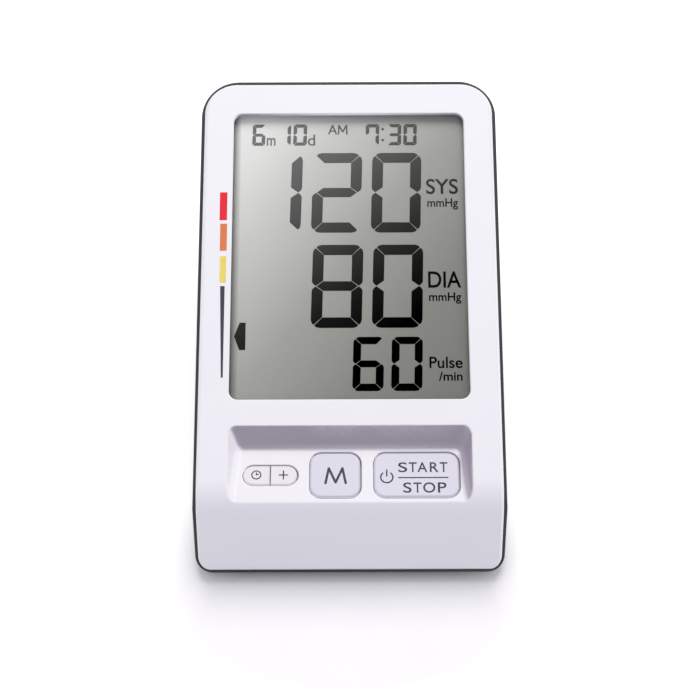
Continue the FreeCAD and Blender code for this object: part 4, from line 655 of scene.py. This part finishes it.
# Raised arrow under the battery door that points the way it slides
ARROW_RELIEF = 0.3
ARROW = [
    (-1.3, -28.0), (1.3, -28.0), (1.3, -21.0), (4.2, -21.0), (0.0, -14.0), (-4.2, -21.0), (-1.3, -21.0),
]
door_low, door_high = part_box("battery_door")
DOOR_UNDERSIDE = Matrix.Translation((0.0, door_high.y, door_low.z)) @ Matrix.Rotation(math.pi, 4, "Y")
plate("door_arrow", [ARROW], DOOR_UNDERSIDE, case_dark, "battery_door", thickness=ARROW_RELIEF)


# Stage, light and camera, in metres
FLOOR_REACH = 3.0
FLOOR_LEVEL = -0.0001
# Strength of the floor's painted light beside and behind the object
PAINTED_FLOOR_LIGHT = 0.38
FRONT_SHADOW_PLACE = (0.0, -0.093, 0.0)
FRONT_SHADOW_SIZE = (0.08, 0.04, 1.0)
LAMP_PLACE = (0.15, 2.0, 3.7)
LAMP_TARGET = (0.0, 0.0, 0.04)
CAMERA_PLACE = (0.00022, -0.40919, 0.55095)
CAMERA_TILT = math.radians(37.7)
CAMERA_ROLL = math.radians(-0.2)


def shows_backdrop(tree):
    """1 on rays that show the backdrop: straight to the camera, in gloss or through glass."""
    rays = tree.nodes.new("ShaderNodeLightPath")
    shown = rays.outputs["Is Camera Ray"]
    for kind in ("Is Glossy Ray", "Is Transmission Ray"):
        either = tree.nodes.new("ShaderNodeMath")
        either.operation = "MAXIMUM"
        tree.links.new(shown, either.inputs[0])
        tree.links.new(rays.outputs[kind], either.inputs[1])
        shown = either.outputs["Value"]
    return shown


def floor_paper():
    """Pale paper with a glow that only camera, gloss and glass rays see: the glow paints out the object's shadow
    beside and behind it, and is left off in front, where the shadow stays.
    """
    n = Nodes("floor_paper")
    speck = n.noise(scale=30.0, detail=2.0)
    n.colour(n.ramp(speck, [(0.3, (0.95, 0.95, 0.955, 1.0)), (0.7, (0.97, 0.97, 0.97, 1.0))]))
    n.set(Roughness=0.9)
    around = n.add("ShaderNodeMapping", vector_type="TEXTURE")
    around.inputs["Location"].default_value = FRONT_SHADOW_PLACE
    around.inputs["Scale"].default_value = FRONT_SHADOW_SIZE
    n.link(n.place, around.inputs["Vector"])
    distance = n.add("ShaderNodeVectorMath", operation="LENGTH")
    n.link(around.outputs["Vector"], distance.inputs[0])
    # Painted light: the glow grows with distance from the shadow in front of the object
    beside = n.spread(distance.outputs["Value"], 0.0, PAINTED_FLOOR_LIGHT, 0.6, 1.3)
    strength = n.add("ShaderNodeMath", operation="MULTIPLY")
    n.link(shows_backdrop(n.tree), strength.inputs[0])
    n.link(beside, strength.inputs[1])
    glow = n.add("ShaderNodeEmission")
    n.link(strength.outputs["Value"], glow.inputs["Strength"])
    both = n.add("ShaderNodeAddShader")
    n.link(n.shader.outputs["BSDF"], both.inputs[0])
    n.link(glow.outputs["Emission"], both.inputs[1])
    n.link(both.outputs["Shader"], n.output.inputs["Surface"])
    return n.material


def stage_floor():
    """Wide floor just under the feet."""
    mesh = bpy.data.meshes.new("floor")
    outline = rectangle(-FLOOR_REACH, FLOOR_REACH, -FLOOR_REACH, FLOOR_REACH)
    mesh.from_pydata([(x, y, FLOOR_LEVEL) for x, y in outline], [], [(0, 1, 2, 3)])
    mesh.materials.append(floor_paper())
    floor = bpy.data.objects.new("floor", mesh)
    bpy.context.scene.collection.objects.link(floor)


def studio_sky():
    """Even soft light from all round, with a plain white backdrop."""
    world = bpy.data.worlds.new("studio")
    world.use_nodes = True
    bpy.context.scene.world = world
    tree = world.node_tree
    soft = tree.nodes["Background"]
    soft.inputs["Color"].default_value = (0.91, 0.895, 1.0, 1.0)
    soft.inputs["Strength"].default_value = 0.66
    backdrop = tree.nodes.new("ShaderNodeBackground")
    backdrop.inputs["Color"].default_value = WHITE
    backdrop.inputs["Strength"].default_value = 1.0
    pick = tree.nodes.new("ShaderNodeMixShader")
    tree.links.new(shows_backdrop(tree), pick.inputs["Fac"])
    tree.links.new(soft.outputs["Background"], pick.inputs[1])
    tree.links.new(backdrop.outputs["Background"], pick.inputs[2])
    tree.links.new(pick.outputs["Shader"], tree.nodes["World Output"].inputs["Surface"])


def key_light():
    """Large soft lamp high behind the object."""
    data = bpy.data.lights.new("key", "AREA")
    data.shape = "DISK"
    data.size = 2.8
    data.energy = 98.0
    data.color = (1.0, 0.98, 0.92)
    lamp = bpy.data.objects.new("key", data)
    lamp.location = LAMP_PLACE
    aim = Vector(LAMP_TARGET) - Vector(LAMP_PLACE)
    lamp.rotation_euler = aim.to_track_quat("-Z", "Y").to_euler()
    bpy.context.scene.collection.objects.link(lamp)


def view_camera():
    """Long lens in front of and above the object, with a slight roll."""
    data = bpy.data.cameras.new("camera")
    data.lens = 100.2
    data.sensor_width = 36.0
    camera = bpy.data.objects.new("camera", data)
    camera.location = CAMERA_PLACE
    tilt = Matrix.Rotation(CAMERA_TILT, 3, "X")
    roll = Matrix.Rotation(CAMERA_ROLL, 3, "Z")
    camera.rotation_euler = (tilt @ roll).to_euler()
    bpy.context.scene.collection.objects.link(camera)
    bpy.context.scene.camera = camera


stage_floor()
studio_sky()
key_light()
view_camera()
bpy.context.scene.view_settings.view_transform = "Standard"
